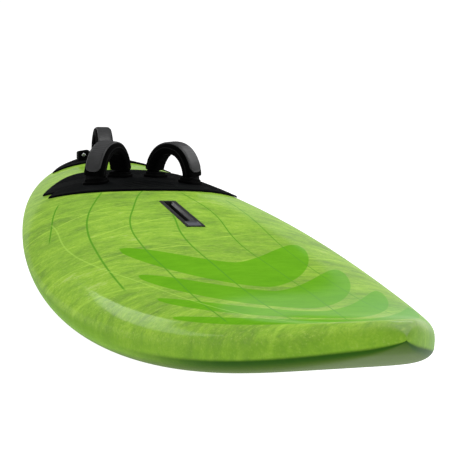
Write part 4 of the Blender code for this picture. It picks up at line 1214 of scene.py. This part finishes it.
# ---------------------------------------------------------------- the block beside the rear strap
def side_block():
    x0, x1, y0, y1 = 0.236 - TRACK_STATION, 0.290 - TRACK_STATION, 0.0520, 0.0870

    def ring(inset, lift):
        points, corner = [], max(0.0015, 0.006 - inset * 0.5)
        for cx, cy, start in ((1, 1, 0), (-1, 1, 90), (-1, -1, 180), (1, -1, 270)):
            for k in range(7):
                turn = math.radians(start + 15 * k)
                x = (x0 + x1) / 2 + cx * ((x1 - x0) / 2 - inset - corner) + corner * math.cos(turn)
                y = (y0 + y1) / 2 + cy * ((y1 - y0) / 2 - inset - corner) + corner * math.sin(turn)
                points.append((x, -y, float(deck_z(x, y)) + PAD_TOP + 0.0009 + lift))
        return points

    bm = bmesh.new()
    arc = [(0.004 * (1 - math.cos(math.radians(15 * k))), 0.0272 - 0.004 * (1 - math.sin(math.radians(15 * k)))) for k in range(7)]
    ring_skin(bm, [ring(0, 0), ring(0, 0.0035), ring(0.0008, 0.0042), ring(0.0008, 0.0052), ring(0, 0.0060), *[ring(a, b) for a, b in arc]])
    body = mesh_of(bm)
    y = -0.0705
    turn = Matrix.Translation((x1, y, float(deck_z(x1, y)) + PAD_TOP + 0.0155)) @ Matrix.Rotation(math.radians(90), 4, "Y")
    bore = turned([(0, 0.03), (0.0067, 0.03), (0.0067, -0.0025), (0.0034, -0.0025), (0.0034, -0.024), (0, -0.024)], 32, turn)
    return carved(body, [bore]), screw_mesh(0.0195, turn @ Matrix.Translation((0, 0, -0.0025 + GAP)))


body, bolt = side_block()
piece(show("rear_side_moulding", body, FOOT, 40), "anchor_plastic", "rear_side_block")
piece(show("rear_side_bolt", bolt, STEEL, 30), "stainless", "rear_side_block_screw")


# ---------------------------------------------------------------- mast track
def mast_track():
    long, wide, deep = TRACK
    aft, fore, slot = TRACK_SLOT
    gw, gt, gl = TRACK_GROOVE
    body = block((-long / 2, -wide / 2, -deep), (long / 2, wide / 2, 0))
    mouth = [(-slot / 2 - 0.0045, 0.001), (slot / 2 + 0.0045, 0.001), (slot / 2 + 0.0045, -0.0006), (slot / 2, -0.0050),
             (slot / 2, gl), (-slot / 2, gl), (-slot / 2, -0.0050), (-slot / 2 - 0.0045, -0.0006)]
    bm = bmesh.new()
    ring_skin(bm, [[(x, y, z) for y, z in mouth] for x in (aft, fore)])
    opening = mesh_of(bm)
    groove_ = block((aft + 0.0006, -gw / 2, gl - 0.0003), (fore - 0.0006, gw / 2, gt))
    # a shallow dish in the solid front end
    bm = bmesh.new()
    rings = []
    for inset, z in ((-0.0012, 0.001), (0.0, -0.0002), (0.0012, -0.0012), (0.0034, -0.0020)):
        ring = []
        x0, x1, h, r = 0.0895 + inset, 0.1250 - inset, 0.0118 - inset, 0.0042
        for cx, cy, start in ((x1 - r, h - r, 0), (x0 + r, h - r, 90), (x0 + r, -h + r, 180), (x1 - r, -h + r, 270)):
            for k in range(5):
                a = math.radians(start + 22.5 * k)
                ring.append((cx + r * math.cos(a), cy + r * math.sin(a), z))
        rings.append(ring)
    ring_skin(bm, rings)
    return carved(body, [opening, groove_, mesh_of(bm)], 0.0006, 2, 32)


def track_look():
    """The box's plastic: dull on the outside, lighter in patches and glossier on the lips that the base slides on, and
    a painted highlight on the front dish.
    """
    t = Tree("track_plastic")
    n = t.node("ShaderNodeSeparateXYZ")
    t.put(n.inputs[0], t.place)
    speck = t.noise(t.mapped(), 1300.0, 3.0, 0.6)
    cloud = t.noise(t.mapped((6, 1, 1)), 22.0, 4.0, 0.6)
    rub = t.noise(t.mapped((1, 30, 30)), 30.0, 4.0, 0.6)
    off = t.math("ABSOLUTE", n.outputs[1])
    lip = t.math("MULTIPLY", t.spread(off, 0.0125, 0.0110), t.spread(n.outputs[2], -0.0070, -0.0050))
    dish = t.math("MULTIPLY", t.spread(n.outputs[0], 0.086, 0.096), t.math("MULTIPLY", t.spread(n.outputs[0], 0.124, 0.120), t.spread(off, 0.0130, 0.0118)))
    tone = t.mix(cloud, (0.0024, 0.0026, 0.0028), (0.0075, 0.0080, 0.0086))
    tone = t.mix(t.math("MULTIPLY", lip, t.spread(rub, 0.3, 0.7, 0.25, 0.85)), tone, (0.022, 0.023, 0.026))
    # painted highlight: the front dish a lighter blue-grey, standing in for the lamps' reflection
    tone = t.mix(t.math("MULTIPLY", dish, 0.9), tone, (0.100, 0.104, 0.128))
    t.set(colour=tone, rough=t.spread(lip, 0.0, 1.0, 0.56, 0.44), level=0.28, normal=t.bump(speck, 0.25, 0.00007))
    return t.material


piece(show("mast_track", mast_track(), track_look(), 30), "box_plastic", "mast_track_box")


# ---------------------------------------------------------------- vent
vent_place = Matrix.Translation((VENT_X, 0, float(deck_z(VENT_X, 0.0)) + 0.0008))
housing = turned(
    [(0.0074, 0.0), (0.0112, 0.0), (0.0117, -0.0002), (0.0120, -0.0007), (0.0120, -0.0022), (0.0090, -0.0030), (0.0090, -0.0185), (0.0016, -0.0185),
     (0.0016, -0.0150), (0.0043, -0.0150), (0.0043, -0.0048), (0.0072, -0.0048), (0.0072, -0.0003)], 48, vent_place, True)
piece(show("vent_socket", housing, VENT, 30), "vent_plastic", "vent_housing")
ring_mesh = turned([(0.0055 + 0.0009 * math.cos(math.tau * k / 14), -0.0036 + 0.0009 * math.sin(math.tau * k / 14)) for k in range(14)], 48, vent_place, True)
piece(show("vent_seal_ring", ring_mesh, RUBBER, 60), "o_ring", "vent_oring", body="vent_seal")
plug_mesh = turned([(0, -0.0000), *rounded([(0.0052, 0.0), (0.0066, 0.0), (0.0066, -0.0024)], 0.0006, 3), (0.0040, -0.0024), (0.0040, -0.0052),
                    *[(0.0040 - (0.0004 if k % 2 else 0.0), -0.0054 - 0.00055 * k) for k in range(14)], (0.0034, -0.0130), (0, -0.0130)], 48)
cross = block((-0.0046, -0.0006, -0.0014), (0.0046, 0.0006, 0.002))
plug_mesh = carved(plug_mesh, [cross])
plug_mesh.transform(vent_place)
piece(show("vent_plug", plug_mesh, BRASS, 30), "brass", "vent_screw", body="vent_closure")


# ---------------------------------------------------------------- fin and its box
def fin_mesh():
    """A raked foil with a round nose and a thin trailing edge, on its tab."""
    bm = bmesh.new()
    rings, sides = [], 28
    shares = [math.sin(math.radians(90 * k / 46)) ** 1.05 for k in range(47)]
    for t in shares:
        chord = FIN_ROOT * (1 - 0.30 * t) * max(0.004, 1 - t**3.2) ** 0.5
        chord = max(chord, FIN_ROOT * 0.03)
        thick = 0.0096 * (1 - 0.55 * t) * (chord / FIN_ROOT) ** 0.5
        middle = -0.004 - 0.082 * t**1.75
        ring = []
        for k in range(2 * sides):
            a = math.pi * k / sides
            c = 0.5 * (1 + math.cos(a))  # 1 at the leading edge
            s = 1 - c
            foil = 5 * (0.2969 * math.sqrt(max(s, 0)) - 0.1260 * s - 0.3516 * s**2 + 0.2843 * s**3 - 0.1036 * s**4)
            y = max(thick * foil, 0.00025) * (1 if a < math.pi else -1)
            if k in (0, sides):
                y = 0.0
            ring.append((middle + chord * (c - 0.5), y, -0.0004 - (FIN_DEPTH - 0.0004) * t))
        rings.append(ring)
    rings.insert(0, [(x, y * 0.9, 0.0035) for x, y, _ in rings[0]])
    ring_skin(bm, rings)
    blade = mesh_of(bm)
    t_long, t_wide, t_deep = FIN_TAB
    pin_z, pin_x = (FIN_GROOVE[1] + FIN_GROOVE[2]) / 2, -t_long / 2 + 0.020
    pin = turned([(0, 0.02), (0.0027, 0.02), (0.0027, -0.02), (0, -0.02)], 24, Matrix.Translation((pin_x, 0, pin_z)) @ Matrix.Rotation(math.radians(90), 4, "X"))
    tab = carved(block((-t_long / 2, -t_wide / 2, 0.0002), (t_long / 2 - 0.018, t_wide / 2, t_deep)), [pin], 0.0006, 2)
    hole = turned([(0, 0.02), (0.0024, 0.02), (0.0024, 0.001), (0, 0.001)], 24, Matrix.Translation((t_long / 2 - 0.009, 0, 0)))
    tongue = carved(block((t_long / 2 - 0.0185, -t_wide / 2, 0.0052), (t_long / 2, t_wide / 2, 0.0105)), [hole], 0.0004, 2)
    made = joined([blade, tab, tongue])
    made.transform(FIN_FRAME)
    return made


def fin_box_mesh():
    long, wide, deep = FIN_BOX
    s_long, s_wide, s_deep = FIN_SLOT
    g_wide, g_low, g_high = FIN_GROOVE
    body = block((-long / 2, -wide / 2, 0), (long / 2, wide / 2, deep))
    made = carved(body, [
        block((-s_long / 2, -s_wide / 2, -0.01), (s_long / 2, s_wide / 2, s_deep)),
        block((-s_long / 2 + 0.0006, -g_wide / 2, g_low), (s_long / 2 - 0.0006, g_wide / 2, g_high)),
        block((-0.012, -g_wide / 2 - 0.0004, -0.01), (0.004, g_wide / 2 + 0.0004, g_high + 0.0005)),
    ], 0.0005, 2, 40)
    made.transform(FIN_FRAME)
    return made


piece(show("fin_foil", fin_mesh(), FIN, 40), "fin_composite", "fin", body="fin_assembly")
piece(show("fin_box_moulding", fin_box_mesh(), BOX, 35), "box_plastic", "fin_box")


# ---------------------------------------------------------------- floor, world and lights
def floor():
    bm = bmesh.new()
    level = cad_low.z - 0.0008
    rows = []
    for k in range(13):
        r = 0.6 * 1.45**k
        rows.append([bm.verts.new((r * math.cos(math.tau * i / 48), r * math.sin(math.tau * i / 48), level)) for i in range(48)])
    bm.faces.new(rows[0])
    for a, b in zip(rows, rows[1:]):
        for i in range(48):
            j = (i + 1) % 48
            bm.faces.new((a[i], a[j], b[j], b[i]))
    t = Tree("floor_paint")
    cloud = t.noise(t.mapped(), 0.8, 3.0)
    t.set(colour=t.mix(cloud, (0.36, 0.36, 0.36), (0.40, 0.40, 0.40)), rough=0.9, level=0.05)
    t.shader.inputs["Emission Color"].default_value = (1, 1, 1, 1)
    t.shader.inputs["Emission Strength"].default_value = 0.98
    obj = show("studio_floor", mesh_of(bm), t.material)


def studio():
    scene = bpy.context.scene
    world = bpy.data.worlds.new("studio")
    scene.world = world
    world.use_nodes = True
    nodes, links = world.node_tree.nodes, world.node_tree.links
    nodes.clear()
    out = nodes.new("ShaderNodeOutputWorld")
    back = nodes.new("ShaderNodeBackground")
    back.inputs["Strength"].default_value = 1.0
    ramp = nodes.new("ShaderNodeValToRGB")
    split = nodes.new("ShaderNodeSeparateXYZ")
    place = nodes.new("ShaderNodeTexCoord")
    links.new(place.outputs["Generated"], split.inputs[0])
    links.new(split.outputs[2], ramp.inputs[0])
    links.new(ramp.outputs[0], back.inputs["Color"])
    links.new(back.outputs[0], out.inputs["Surface"])
    stops = [(0.0, 1.05), (0.076, 1.05), (0.100, 0.10), (0.35, 0.10), (1.0, 0.60)]
    e = ramp.color_ramp.elements
    e[0].position, e[0].color = stops[0][0], (*[stops[0][1]] * 3, 1)
    e[1].position, e[1].color = stops[-1][0], (*[stops[-1][1]] * 3, 1)
    for at, value in stops[1:-1]:
        made = e.new(at)
        made.color = (value, value, value, 1)

    def soft_box(name, at, target, size, power, colour=(1, 1, 1)):
        light = bpy.data.lights.new(name, "AREA")
        light.shape = "RECTANGLE"
        light.size, light.size_y = size
        light.energy = power
        light.color = colour
        obj = bpy.data.objects.new(name, light)
        scene.collection.objects.link(obj)
        aim = (Vector(target) - Vector(at)).normalized()
        obj.rotation_euler = aim.to_track_quat("-Z", "Y").to_euler()
        obj.location = at
        return obj

    soft_box("overhead", (0.5, 0.1, 2.6), (0, 0, 0), (1.6, 1.2), 37)
    soft_box("starboard_strip", (-2.4, -1.9, 1.25), (0.3, -0.1, 0), (2.6, 0.45), 26)
    soft_box("nose_strip", (2.6, -0.9, 1.9), (0.9, 0, 0), (1.4, 0.5), 8)
    soft_box("port_strip", (-1.2, 1.75, 1.15), (0.9, 0.0, 0.0), (1.5, 0.35), 14)
    soft_box("port_fill", (0.6, 2.6, 1.4), (-0.3, 0, 0), (1.6, 1.2), 8)
    scene.view_settings.view_transform = "Standard"
    scene.view_settings.look = "None"


floor()
studio()

bpy.context.view_layer.update()
